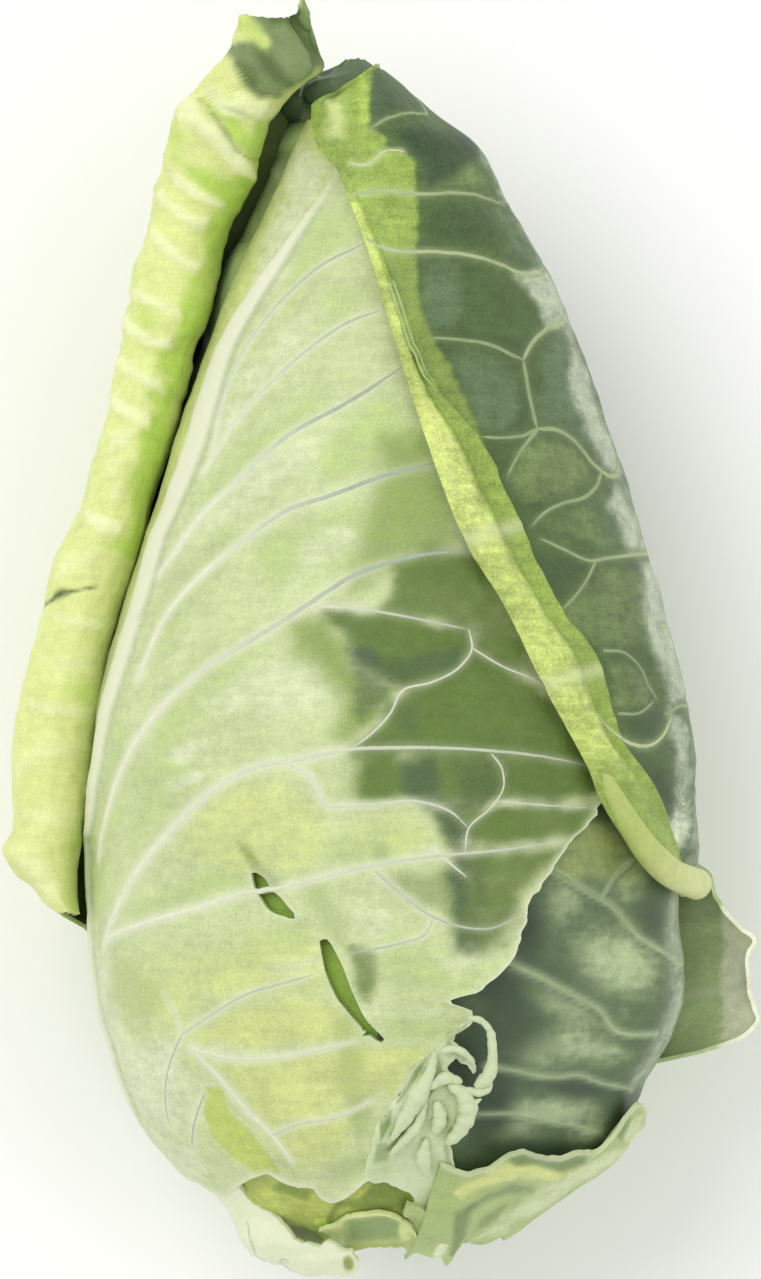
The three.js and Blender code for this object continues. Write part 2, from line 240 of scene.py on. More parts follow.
# %% The leaf class
def smooth_path(points, step=0.8):
    """A smooth path through a few points, as many points about a step apart."""
    points = np.array(points, float)
    gaps = np.linalg.norm(np.diff(points, axis=0), axis=1)
    run = np.concatenate(([0], np.cumsum(gaps)))
    tangent = np.gradient(points, run, axis=0)
    at = np.linspace(0, run[-1], max(3, int(run[-1] / step) + 2))
    i = np.clip(np.searchsorted(run, at, side="right") - 1, 0, len(gaps) - 1)
    width = gaps[i][:, None]
    t = (at - run[i])[:, None] / width
    return (points[i] * (1 + 2 * t) * (1 - t) ** 2 + points[i + 1] * t * t * (3 - 2 * t)
            + width * (tangent[i] * t * (1 - t) ** 2 - tangent[i + 1] * t * t * (1 - t)))


def outward(points):
    """The direction that faces out at each point of a grid."""
    along = np.gradient(points, axis=0)
    across = np.gradient(points, axis=1)
    normal = np.cross(across, along)
    return normal / np.maximum(np.linalg.norm(normal, axis=-1, keepdims=True), 1e-9)


class Leaf:
    """A leaf as a grid of points in mm, with marks that its finish reads."""

    def __init__(self, rows, across, points):
        self.rows = np.asarray(rows, float)
        self.across = np.broadcast_to(across, points.shape[:2])
        self.points = points.copy()
        self.x, self.y = from_above(points)  # as it was laid on the head, before any relief
        self.normals = outward(points)
        self.marks = {}

    def clouds(self, wide, tall, seed):
        """Cloudy noise over the leaf, with swings that wide and that tall in mm."""
        return cloudy(self.x / wide, self.y / tall, seed)

    def raise_by(self, relief, lowest=JUST_ABOVE):
        """Moves every point outwards, and no lower than the layer may go."""
        self.points = self.points + self.normals * np.asarray(relief)[..., None]
        self.points[..., 2] = np.maximum(self.points[..., 2], lowest)
        self.normals = outward(self.points)

    def mark(self, name, values):
        self.marks[name] = np.clip(np.broadcast_to(values, self.points.shape[:2]), 0, 1)

    def at(self, across, rows):
        """The points and outward directions at places given by their across and row values."""
        spots = []
        facing = []
        for a, r in zip(np.atleast_1d(across), np.atleast_1d(rows)):
            i = int(np.clip(np.searchsorted(self.rows, r) - 1, 0, len(self.rows) - 2))
            u = np.clip((r - self.rows[i]) / (self.rows[i + 1] - self.rows[i]), 0, 1)
            line = self.across[i] * (1 - u) + self.across[i + 1] * u
            j = int(np.clip(np.searchsorted(line, a) - 1, 0, len(line) - 2))
            v = np.clip((a - line[j]) / (line[j + 1] - line[j]), 0, 1)
            for source, found in ((self.points, spots), (self.normals, facing)):
                low = source[i, j] * (1 - v) + source[i, j + 1] * v
                high = source[i + 1, j] * (1 - v) + source[i + 1, j + 1] * v
                found.append(low * (1 - u) + high * u)
        return np.array(spots), np.array(facing)

    def from_side(self, side):
        """How far each point is from one side of the leaf, in mm along the grid."""
        axis = 1 if side in ("left", "right") else 0
        points = self.points
        if side in ("right", "top"):
            points = np.flip(points, axis)
        gaps = np.linalg.norm(np.diff(points, axis=axis), axis=-1)
        run = np.cumsum(gaps, axis=axis)
        start = np.zeros_like(run[:, :1] if axis else run[:1])
        run = np.concatenate((start, run), axis=axis)
        return np.flip(run, axis) if side in ("right", "top") else run


patch_rows = np.linspace(60, 80, 9)
patch_turns = np.linspace(-20, 20, 9)
patch = Leaf(patch_rows, patch_turns, on_head(patch_turns, patch_rows[:, None], 0))
print("a patch over 40 degrees is", patch.from_side("left").max().round(1), "mm across")

# %% [markdown]
# A sheet gets an inner side a thickness behind its outer one, and a wall round every open
# edge, so that it is a closed solid as a real leaf is. A tear is cut where a measure of the
# distance to it is below nought: points near its outline are moved onto it first, so the
# hole has a clean edge, and the wall goes round that too.

# %% From grid to closed sheet
PULLED_OUT = 0.52  # points this many grid steps from a cut's edge are moved onto it
PULLED_IN = 0.72  # and from inside the cut
FAR_OFF = 9.0  # beyond this it makes no difference how far a cut is
INNER_LOWEST = 0.1
SHARP_TURN = 70  # degrees from which an edge is drawn sharp


def grid_quads(rows, columns):
    i, j = np.meshgrid(np.arange(rows - 1), np.arange(columns - 1), indexing="ij")
    first = (i * columns + j).ravel()
    return np.stack([first, first + 1, first + columns + 1, first + columns], axis=1)


def cut_out(leaf, distance):
    """The faces that stay where distance is over 0, with the points near its edge moved to it."""
    down, right = np.gradient(distance)
    steep = np.maximum(down ** 2 + right ** 2, 1e-9)
    near = np.abs(distance) / np.sqrt(steep) < np.where(distance < 0, PULLED_IN, PULLED_OUT)
    along = np.gradient(leaf.points, axis=0)
    across = np.gradient(leaf.points, axis=1)
    # The shortest way to the edge, also where the grid's rows are sheared.
    aa = (along ** 2).sum(-1)
    cc = (across ** 2).sum(-1)
    ac = (along * across).sum(-1)
    area = np.maximum(aa * cc - ac ** 2, 1e-6)
    go_down = (cc * down - ac * right) / area
    go_right = (aa * right - ac * down) / area
    much = np.where(near, -distance / np.maximum(down * go_down + right * go_right, 0.05), 0)
    move_down = along * (go_down * much)[..., None]
    move_right = across * (go_right * much)[..., None]
    leaf.points = leaf.points + move_down + move_right
    state = np.where(near, 0, np.sign(distance)).ravel()
    faces = []
    for quad in grid_quads(*distance.shape).tolist():
        held = [state[k] for k in quad]
        if min(held) >= 0:
            if max(held) > 0:
                faces.append(quad)
        elif max(held) > 0:
            k = held.index(1)
            if held[k - 1] == 0 and held[(k + 1) % 4] == 0:
                faces.append([quad[k - 1], quad[k], quad[(k + 1) % 4]])
    return faces


def open_edges(faces):
    """The directed edges of faces that no other face has the other way round."""
    edges = set()
    for face in faces:
        for k, a in enumerate(face):
            edges.add((a, face[(k + 1) % len(face)]))
    return [(a, b) for a, b in edges if (b, a) not in edges]


print("4 by 5 points hold", len(grid_quads(4, 5)), "faces")

# %% [markdown]
# A mesh keeps only the points that a face uses. Its marks become attributes, which the
# finishes read by name. That is why no piece needs a picture to be coloured.

# %% Meshes and sheets
def store(mesh, marks):
    """Keeps marks in a mesh, one value for each point."""
    for mark, values in marks.items():
        layer = mesh.attributes.new(mark, "FLOAT", "POINT")
        layer.data.foreach_set("value", np.asarray(values, np.float32))


def new_mesh(name, points, faces, marks):
    """A mesh from points in mm, without the points that no face uses."""
    used = np.zeros(len(points), bool)
    used[[k for face in faces for k in face]] = True
    place = np.cumsum(used) - 1
    mesh = bpy.data.meshes.new(name)
    mesh.from_pydata(in_metres(points[used]).tolist(), [],
                     [[int(place[k]) for k in face] for face in faces])
    store(mesh, {mark: np.asarray(values)[used] for mark, values in marks.items()})
    mesh.shade_smooth()
    return mesh


def new_object(name, mesh, finish=None):
    obj = bpy.data.objects.new(name, mesh)
    bpy.context.scene.collection.objects.link(obj)
    if finish is not None:
        mesh.materials.append(finish)
    return obj


def sheet(name, leaf, thickness, finish, distance=None):
    """Closes a leaf into a sheet. Its thickness is a number or one value for each point."""
    rows, columns = leaf.points.shape[:2]
    if distance is None:
        faces = grid_quads(rows, columns).tolist()
    else:
        faces = cut_out(leaf, distance)
    outer = leaf.points.reshape(-1, 3)
    thick = np.broadcast_to(thickness, (rows, columns)).reshape(-1, 1)
    inner = outer - leaf.normals.reshape(-1, 3) * thick
    inner[:, 2] = np.maximum(inner[:, 2], INNER_LOWEST)
    count = len(outer)
    walls = [[b, a, a + count, b + count] for a, b in sorted(open_edges(faces))]
    back = [[k + count for k in reversed(face)] for face in faces]
    marks = {mark: np.tile(values.ravel(), 2) for mark, values in leaf.marks.items()}
    marks["inside"] = np.repeat((0.0, 1.0), count)
    mesh = new_mesh(name, np.concatenate((outer, inner)), faces + back + walls, marks)
    mesh.set_sharp_from_angle(angle=math.radians(SHARP_TURN))
    print(name, len(faces), "faces on each side")
    return new_object(name, mesh, finish)


print("edges that turn by more than", SHARP_TURN, "degrees are drawn sharp")

# %% [markdown]
# Each finished piece rides on the cabbage's one body and hides the CAD pieces that it stands
# for.

# %% Finishing a piece
def finished(obj, slot, *nodes):
    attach(obj, "root")
    if nodes:
        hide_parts(*nodes)
    return obj

# %% [markdown]
# Node trees are wired by Python expressions. A Wire is one output of a node, and a sum of
# wires and numbers adds the Math nodes that it needs. Every other node comes from node().

# %% Wires and boards
class Wire:
    """One output of a node, which can be used in sums."""

    def __init__(self, board, socket):
        self.board = board
        self.socket = socket

    def math(self, operation, *values):
        inputs = dict(enumerate(values))
        return self.board.node("ShaderNodeMath", {"operation": operation}, inputs)

    def __add__(self, other):
        return self.math("ADD", self, other)

    __radd__ = __add__

    def __sub__(self, other):
        return self.math("SUBTRACT", self, other)

    def __rsub__(self, other):
        return self.math("SUBTRACT", other, self)

    def __mul__(self, other):
        return self.math("MULTIPLY", self, other)

    __rmul__ = __mul__

    def __truediv__(self, other):
        return self.math("DIVIDE", self, other)

    def clipped(self):
        return self.math("MINIMUM", self.math("MAXIMUM", self, 0.0), 1.0)

    def between(self, start, end):
        """0 where this is under start, 1 over end, smooth between them."""
        return self.board.node("ShaderNodeMapRange", {"interpolation_type": "SMOOTHSTEP"}, {
            "Value": self, "From Min": start, "From Max": end, "To Min": 0.0, "To Max": 1.0})


class Board:
    """A node tree."""

    def __init__(self, tree):
        self.tree = tree

    def node(self, kind, settings=None, inputs=None, output=0):
        made = self.tree.nodes.new(kind)
        for setting, value in (settings or {}).items():
            setattr(made, setting, value)
        for place, value in (inputs or {}).items():
            socket = made.inputs[place]
            if isinstance(value, Wire):
                self.tree.links.new(value.socket, socket)
            else:
                socket.default_value = value
        return Wire(self, made.outputs[output])

    def mark(self, name):
        return self.node("ShaderNodeAttribute", {"attribute_name": name}, output=2)

    def noise(self, scale, detail, roughness, place):
        """Noise from 0 to 1 with about scale swings in a metre."""
        return self.node("ShaderNodeTexNoise", None, {
            "Vector": place, "Scale": scale, "Detail": detail, "Roughness": roughness})

    def mix(self, factor, a, b, blend="MIX"):
        return self.node("ShaderNodeMix", {"data_type": "RGBA", "blend_type": blend},
                         {0: factor, 6: colour(a), 7: colour(b)}, output=2)

    def grey(self, value):
        """A number as a grey colour, for multiplying colours."""
        return self.node("ShaderNodeCombineColor", None, {0: value, 1: value, 2: value})


def colour(value):
    return value if isinstance(value, Wire) else (*value, 1.0)


print("a board can add", [name for name in vars(Board) if not name.startswith("_")])

# %% [markdown]
# A leaf's finish starts from its own green and lays other greens over it like washes of
# colour, each where a mark says and with a soft uneven border. Between them the colour
# drifts, with brush-like streaks and a fine grain. A cabbage leaf has a thin bloom of wax,
# so it is neither shiny nor quite matt. The inner side is paler than the outer one.

# %% The leaf finish
BLOOM = 0.52  # roughness of the wax bloom
PALE_INSIDE = (0.50, 0.60, 0.30)
CREAM = (0.72, 0.745, 0.555)
SHADE_SLATE = (0.30, 0.37, 0.28)
SOFT = 0.5  # the usual softness of a wash's border
INSIDE_SHARE = 0.75  # how much of the inner side's own green shows on it
PATCHES = 85.0  # swings in a metre
FINE = 420.0
GRAIN = 2100.0
STREAKS = (60.0, 620.0, 200.0)  # long one way and narrow the other
PIT_HEIGHT = 0.0005  # metres
LEAF_GLOSS = 0.32


def new_finish(name):
    """A material, its board and the place on the object that its noises read."""
    material = bpy.data.materials.new(name)
    material.use_nodes = True
    board = Board(material.node_tree)
    return material, board, board.node("ShaderNodeTexCoord", output=3)


def wire_finish(material, paint, rough, relief, strength, height, gloss):
    """Wires paint, roughness and a small relief, its height in metres, into the shader."""
    bump = paint.board.node("ShaderNodeBump", None, {
        "Strength": strength, "Distance": height, "Height": relief})
    shader = material.node_tree.nodes["Principled BSDF"]
    for socket, wire in (("Base Color", paint), ("Roughness", rough), ("Normal", bump)):
        material.node_tree.links.new(wire.socket, shader.inputs[socket])
    shader.inputs["Specular IOR Level"].default_value = gloss
    print(material.name, "has", len(material.node_tree.nodes), "nodes")
    return material


def leaf_finish(name, base, washes, streak_turn=50.0, drift=0.16, cream=CREAM, slate=SHADE_SLATE,
                inside=PALE_INSIDE, bump=0.25):
    """Washes are (mark, colour) or (mark, colour, softness), laid over the base in turn."""
    material, board, place = new_finish(name)
    patches = board.noise(PATCHES, 3.0, 0.55, place)
    fine = board.noise(FINE, 3.0, 0.6, place)
    grain = board.noise(GRAIN, 2.0, 0.6, place)
    brushed = board.node("ShaderNodeMapping", None, {
        "Vector": place, "Rotation": (0.0, 0.0, math.radians(-streak_turn)), "Scale": STREAKS})
    streaks = board.noise(1.0, 2.0, 0.5, brushed)
    border = (patches - 0.5) * 0.55 + (fine - 0.5) * 0.35 + (streaks - 0.5) * 0.3
    paint = base
    for mark, wash, *softness in washes:
        soft = softness[0] if softness else SOFT
        value = board.mark(mark)
        covered = (value + border * (value * (1.0 - value) * 4.0)).between(0.5 - soft, 0.5 + soft)
        paint = board.mix(covered, paint, wash)
    shading = (1.0 + (patches - 0.5) * (drift * 2.0) + (fine - 0.5) * (drift * 1.8)
               + (streaks - 0.5) * (drift * 1.3) + (grain - 0.5) * (drift * 2.6))
    paint = board.mix(1.0, paint, board.grey(shading), "MULTIPLY")
    paint = board.mix((board.mark("cream") + (fine - 0.5) * 0.2 * board.mark("cream")).clipped(),
                      paint, cream)
    # On most leaves the slate mark is painted shade: thin lines beside veins, ribs and folds, and dark
    # creases.
    paint = board.mix((board.mark("slate") * (0.75 + fine * 0.5)).clipped(), paint, slate)
    if inside is not None:
        paint = board.mix(board.mark("inside") * INSIDE_SHARE, paint, inside)
    rough = (BLOOM - 0.08 + (fine - 0.5) * 0.25 + patches * 0.12).clipped()
    pits = fine * 0.6 + grain * 0.25 + streaks * 0.35
    return wire_finish(material, paint, rough, pits, bump, PIT_HEIGHT, LEAF_GLOSS)

# %% [markdown]
# Veins, ribs and stems hold little green. They need only two colours, and the slate mark
# says how much of the second shows.

# %% The finish of veins
FIBRES = 600.0
SPOTS = 150.0
FIBRE_HEIGHT = 0.0004
VEIN_GLOSS = 0.35


def cream_finish(name, thick, thin, drift=0.14):
    """The finish of veins and rims: from one colour to the other as the slate mark says."""
    material, board, place = new_finish(name)
    fine = board.noise(FIBRES, 3.0, 0.6, place)
    patches = board.noise(SPOTS, 2.0, 0.5, place)
    paint = board.mix((board.mark("slate") + (patches - 0.5) * 0.4).clipped(), thick, thin)
    shading = 1.0 + (fine - 0.5) * (drift * 2.2) + (patches - 0.5) * drift
    paint = board.mix(1.0, paint, board.grey(shading), "MULTIPLY")
    rough = (0.42 + fine * 0.2).clipped()
    return wire_finish(material, paint, rough, fine, 0.2, FIBRE_HEIGHT, VEIN_GLOSS)

# %% [markdown]
# Veins do three things to a leaf: they stand a little proud, they tint the blade beside
# them, and the blade between them swells. Each vein is a few places on the leaf. The ribs
# themselves are swept by Geometry Nodes: a round section follows every path, scaled by the
# girth stored along it, and is sunk so that only its back shows.

# %% Veins on a leaf
def vein_paths(leaf, veins, step=0.8):
    """Every vein is (places, start width, end width), then its slate at both ends if any."""
    paths = []
    for places, start, end, *slates in veins:
        slate_start, slate_end = slates or (0, 0)
        rough = smooth_path(places, np.ptp(np.array(places), axis=0).max() / 30)
        spots, _ = leaf.at(rough[:, 0], rough[:, 1])
        run = np.concatenate(([0], np.cumsum(np.linalg.norm(np.diff(spots, axis=0), axis=1))))
        even = np.linspace(0, run[-1], max(3, int(run[-1] / step) + 1))
        route = np.stack([np.interp(even, run, rough[:, k]) for k in (0, 1)], axis=1)
        spots, facing = leaf.at(route[:, 0], route[:, 1])
        share = np.linspace(0, 1, len(route))
        paths.append({"spots": spots, "facing": facing, "share": share,
                      "width": start + (end - start) * share,
                      "slate": slate_start + (slate_end - slate_start) * share})
    return paths


class Near:
    """For each point of a leaf the nearest vein: how far, how wide, how slate, on which side."""

    def __init__(self, leaf, veins):
        paths = vein_paths(leaf, veins)
        spots, width, slate = (np.concatenate([path[key] for path in paths])
                               for key in ("spots", "width", "slate"))
        tree = KDTree(len(spots))
        for k, spot in enumerate(spots):
            tree.insert(spot, k)
        tree.balance()
        flat = leaf.points.reshape(-1, 3)
        shape = leaf.points.shape[:2]
        found = [tree.find(point)[1:] for point in flat.tolist()]
        index = np.array([f[0] for f in found])
        distance = np.array([f[1] for f in found])
        away = flat - spots[index]
        side = (away[:, 0] * 0.5 - away[:, 1] * 0.85) / np.maximum(distance, 1e-6)
        self.distance = distance.reshape(shape)
        self.width = width[index].reshape(shape)
        self.slate = slate[index].reshape(shape)
        self.side = side.reshape(shape)

    def line(self, share, reach):
        """1 on a vein, falling to both sides over a share of its width and a reach in mm."""
        return bell(self.distance, share * self.width + reach)

    def shade(self, off, reach):
        """A thin line beside each vein, on the side that the light leaves dark."""
        return np.clip(self.side, 0, 1) * bell(self.distance - off, reach)

    def swell(self, size, power=1.0):
        """0 on the veins, 1 in the blade from that many mm off them."""
        return np.clip(self.distance / size, 0, 1) ** power

# %% [markdown]
# A rib could be a bevelled curve. Geometry Nodes do it for all ribs of a leaf in one piece,
# and the girth can change at each point. The result is turned into a plain mesh at once,
# so that nothing is left to work out when the cabbage is used.

# %% Nodes that make a piece from paths
def new_tree(name, setting, kind):
    """A board of Geometry Nodes, with wires for a mesh, one setting and a finish."""
    tree = bpy.data.node_groups.new(name, "GeometryNodeTree")
    face = tree.interface
    face.new_socket("Geometry", in_out="INPUT", socket_type="NodeSocketGeometry")
    face.new_socket(setting, in_out="INPUT", socket_type=kind)
    face.new_socket("Finish", in_out="INPUT", socket_type="NodeSocketMaterial")
    face.new_socket("Geometry", in_out="OUTPUT", socket_type="NodeSocketGeometry")
    board = Board(tree)
    given = tree.nodes.new("NodeGroupInput")
    return board, [Wire(board, socket) for socket in given.outputs[:3]]


def hand_out(geometry, finish):
    """Gives what the nodes made its finish, and lets it out of the tree."""
    board = geometry.board
    done = board.node("GeometryNodeSetMaterial", None, {"Geometry": geometry, "Material": finish})
    result = board.tree.nodes.new("NodeGroupOutput")
    board.tree.links.new(done.socket, result.inputs[0])
    return board.tree


def grown(name, mesh, tree, setting, finish):
    """What a tree makes of a mesh, as a piece of its own."""
    source = new_object(mesh.name, mesh)
    modifier = source.modifiers.new("grown", "NODES")
    modifier.node_group = tree
    sockets = [item.identifier for item in tree.interface.items_tree if item.in_out == "INPUT"]
    modifier[sockets[1]] = setting
    modifier[sockets[2]] = finish
    graph = bpy.context.evaluated_depsgraph_get()
    made = bpy.data.meshes.new_from_object(source.evaluated_get(graph), depsgraph=graph)
    bpy.data.objects.remove(source)
    made.name = name
    return new_object(name, made)


def rib_tree():
    """Geometry Nodes that sweep a round section along paths, scaled by their girth."""
    board, (paths, sides, finish) = new_tree("swept_ribs", "Sides", "NodeSocketInt")
    curve = board.node("GeometryNodeMeshToCurve", None, {"Mesh": paths})
    ring = board.node("GeometryNodeCurvePrimitiveCircle", None, {"Resolution": sides, "Radius": 1.0})
    girth = board.node("GeometryNodeInputNamedAttribute", {"data_type": "FLOAT"}, {"Name": "girth"})
    ribs = board.node("GeometryNodeCurveToMesh", None, {
        "Curve": curve, "Profile Curve": ring, "Scale": girth, "Fill Caps": True})
    smooth = board.node("GeometryNodeSetShadeSmooth", None, {"Geometry": ribs})
    real = board.node("GeometryNodeRealizeInstances", None, {"Geometry": smooth})
    return hand_out(real, finish)


RIB_TREE = rib_tree()
print(len(RIB_TREE.nodes), "nodes sweep the ribs")


def swept(name, paths, finish, sides=8):
    """One mesh of round ribs along paths, each with spots, girths and slates, in mm."""
    points = []
    edges = []
    girth = []
    slate = []
    for path in paths:
        start = len(points)
        points.extend(path["spots"].tolist())
        edges.extend((start + k, start + k + 1) for k in range(len(path["spots"]) - 1))
        girth.extend((path["girth"] * MM).tolist())
        slate.extend(path["slate"].tolist())
    mesh = bpy.data.meshes.new(name + "_paths")
    mesh.from_pydata(in_metres(points).tolist(), edges, [])
    store(mesh, {"girth": girth, "slate": slate})
    ribs = grown(name, mesh, RIB_TREE, sides, finish)
    print(name, len(paths), "ribs,", len(ribs.data.polygons), "faces")
    return ribs


def vein_ribs(name, leaf, veins, finish, proud=0.35, thin_ends=True):
    """The veins' ribs, read off the raised leaf, thinner towards their ends."""
    paths = []
    for path in vein_paths(leaf, veins):
        girth = path["width"] / 2
        if thin_ends:
            girth = girth * (0.35 + 0.65 * ease(1 - path["share"], 0, 0.12))
            girth = girth * (0.6 + 0.4 * ease(path["share"], 0, 0.06))
        path["girth"] = np.maximum(girth, 0.12)
        sunk = path["girth"] * (1 - proud)
        path["spots"] = path["spots"] - path["facing"] * sunk[:, None]
        path["spots"][:, 2] = np.maximum(path["spots"][:, 2], path["girth"] + JUST_ABOVE)
        paths.append(path)
    return swept(name, paths, finish)

# %% [markdown]
# A mark can be painted on what is seen from above, as a watercolour is: each area
# has an outline, the width of its soft border and a strength, and areas build up where
# they overlap. Small spots are given by their middle, reach, turn and strength instead.

# %% Painted areas and spots
def depth_inside(x, y, outline):
    """How far each point is inside an outline, in mm, and less than 0 outside it."""
    corners = np.array(outline, float)
    nearest = np.full(x.shape, 1e9)
    within = np.zeros(x.shape, bool)
    for (ax, ay), (bx, by) in zip(corners, np.roll(corners, -1, axis=0)):
        dx = bx - ax
        dy = by - ay
        along = np.clip(((x - ax) * dx + (y - ay) * dy) / (dx * dx + dy * dy), 0, 1)
        nearest = np.minimum(nearest, np.hypot(x - ax - along * dx, y - ay - along * dy))
        if dy != 0:
            within ^= ((ay > y) != (by > y)) & (x < ax + (y - ay) * dx / dy)
    return np.where(within, nearest, -nearest)


def painted(points, areas, seed, ragged=1.0):
    """How strongly areas cover each point: each is (outline, border width, strength)."""
    x, y = from_above(points)
    uneven = ragged * cloudy(x / 5, y / 5, seed)
    bare = np.ones(x.shape)
    for outline, border, strength in areas:
        bare = bare * (1 - strength * ease(depth_inside(x, y, outline) + uneven, -border, border))
    return 1 - bare


def spots_on(points, spots, seed=3, ragged=0.25):
    """How far oval spots cover each point, one over another, with uneven outlines."""
    x, y = from_above(points)
    uneven = 1 + ragged * cloudy(x / 5, y / 5, seed)
    bare = np.ones(x.shape)
    for middle_x, middle_y, reach_x, reach_y, turned, strength in spots:
        c = math.cos(math.radians(turned))
        s = math.sin(math.radians(turned))
        across = ((x - middle_x) * c + (y - middle_y) * s) / reach_x
        along = ((y - middle_y) * c - (x - middle_x) * s) / reach_y
        distance = np.hypot(across, along) * uneven
        bare = bare * (1 - strength * np.exp(-0.9 * distance ** 2.4))
    return 1 - bare


def paint(leaf, mark, areas, seed, ragged=1.0):
    """Marks a raised leaf with painted areas."""
    leaf.mark(mark, painted(leaf.points, areas, seed, ragged))


SQUARE = [(0, 0), (10, 0), (10, 10), (0, 10)]
print("the middle of a square lies", depth_inside(np.array(5.0), np.array(5.0), SQUARE), "mm inside")

# %% [markdown]
# The front leaf is the large pale one. Its midrib runs up the head's left side, and its
# blade bends over the top and goes under the right leaf, where its far side is torn free.
# From the midrib the side veins sweep up and across. Lower down they fork into cells.

# %% Front leaf: outline and grid
FRONT_DEPTH = WRAP_STEP
FRONT_LEFT = [
    (14, -37), (20, -44), (31, -52), (47, -60), (72, -63), (120, -62), (136, -56.5),
    (147, -52), (163, -47.7), (184, -41), (199, -35.7), (216, -28.8), (231, -22.5), (243, -16.5),
]
FRONT_RIGHT = [
    (14, -2), (24, 0), (27, -1.5), (31, -1), (38, 2), (48, 9.5), (51, 13), (54.5, 18),
    (56.5, 18.2), (58.8, 13.4), (60.6, 18.5), (63.4, 22), (68.7, 27.3), (78, 29.6), (87.6, 35.4),
    (94, 40.5), (101, 45.5), (108, 47), (123, 38.6), (142, 29), (154, 22),
    (176, 13.4), (196, 7), (217, 0), (231, -4), (243, -9),
]
ROUND_THE_SIDE = 8  # how far its left edge goes on down the side, in degrees
front_rows = np.linspace(14, 243, 306)
front_left = turn_at(through(FRONT_LEFT, front_rows), front_rows, FRONT_DEPTH)
front_left = front_left - ROUND_THE_SIDE * (1 - ease(front_rows, 150, 172))
torn = ease(front_rows, 46, 60) * (1 - ease(front_rows, 98, 108))
teeth = torn * (0.8 * cloudy(front_rows / 3.2, 0, 41) + 0.5 * wander(front_rows / 1.3, 0, 47))
front_right = turn_at(through(FRONT_RIGHT, front_rows) + teeth, front_rows, FRONT_DEPTH)
FRONT_COLUMNS = 148
shares = np.linspace(0, 1, FRONT_COLUMNS)
# The columns follow a calm right edge, and only the last ones go out to the torn one.
SOFT_ROWS = 15
window = np.hanning(2 * SOFT_ROWS + 1)
longer = np.pad(front_right, SOFT_ROWS, mode="edge")
calm_right = np.convolve(longer, window / window.sum(), mode="valid")
front_turns = front_left[:, None] + (calm_right - front_left)[:, None] * shares
front_turns = front_turns + (front_right - calm_right)[:, None] * shares ** 5
print("columns still in order:", bool((np.diff(front_turns, axis=1) > 0).all()))
front_base = on_head(front_turns, front_rows[:, None], FRONT_DEPTH)
front = Leaf(front_rows, front_turns, front_base)
FOOT = [  # its lower edge, as x and height
    (-50, 24), (-43, 22), (-39, 20.5), (-35, 18.2), (-33.5, 17.6), (-31.5, 19), (-29, 20.8),
    (-26.5, 22),
    (-24.5, 22.8), (-22, 21.5), (-18, 20), (-15, 19.4), (-13.5, 17.8), (-11, 16.9), (-8.5, 17.6),
    (-6.3, 19.2), (-4, 21.4), (-1, 23.5), (1.5, 25.6),
]
above_foot = front.y - through(FOOT, front.x)
above_foot = above_foot + 0.35 * cloudy(front.x / 3, 0, 43)
print("front leaf grid", front_base.shape[:2])
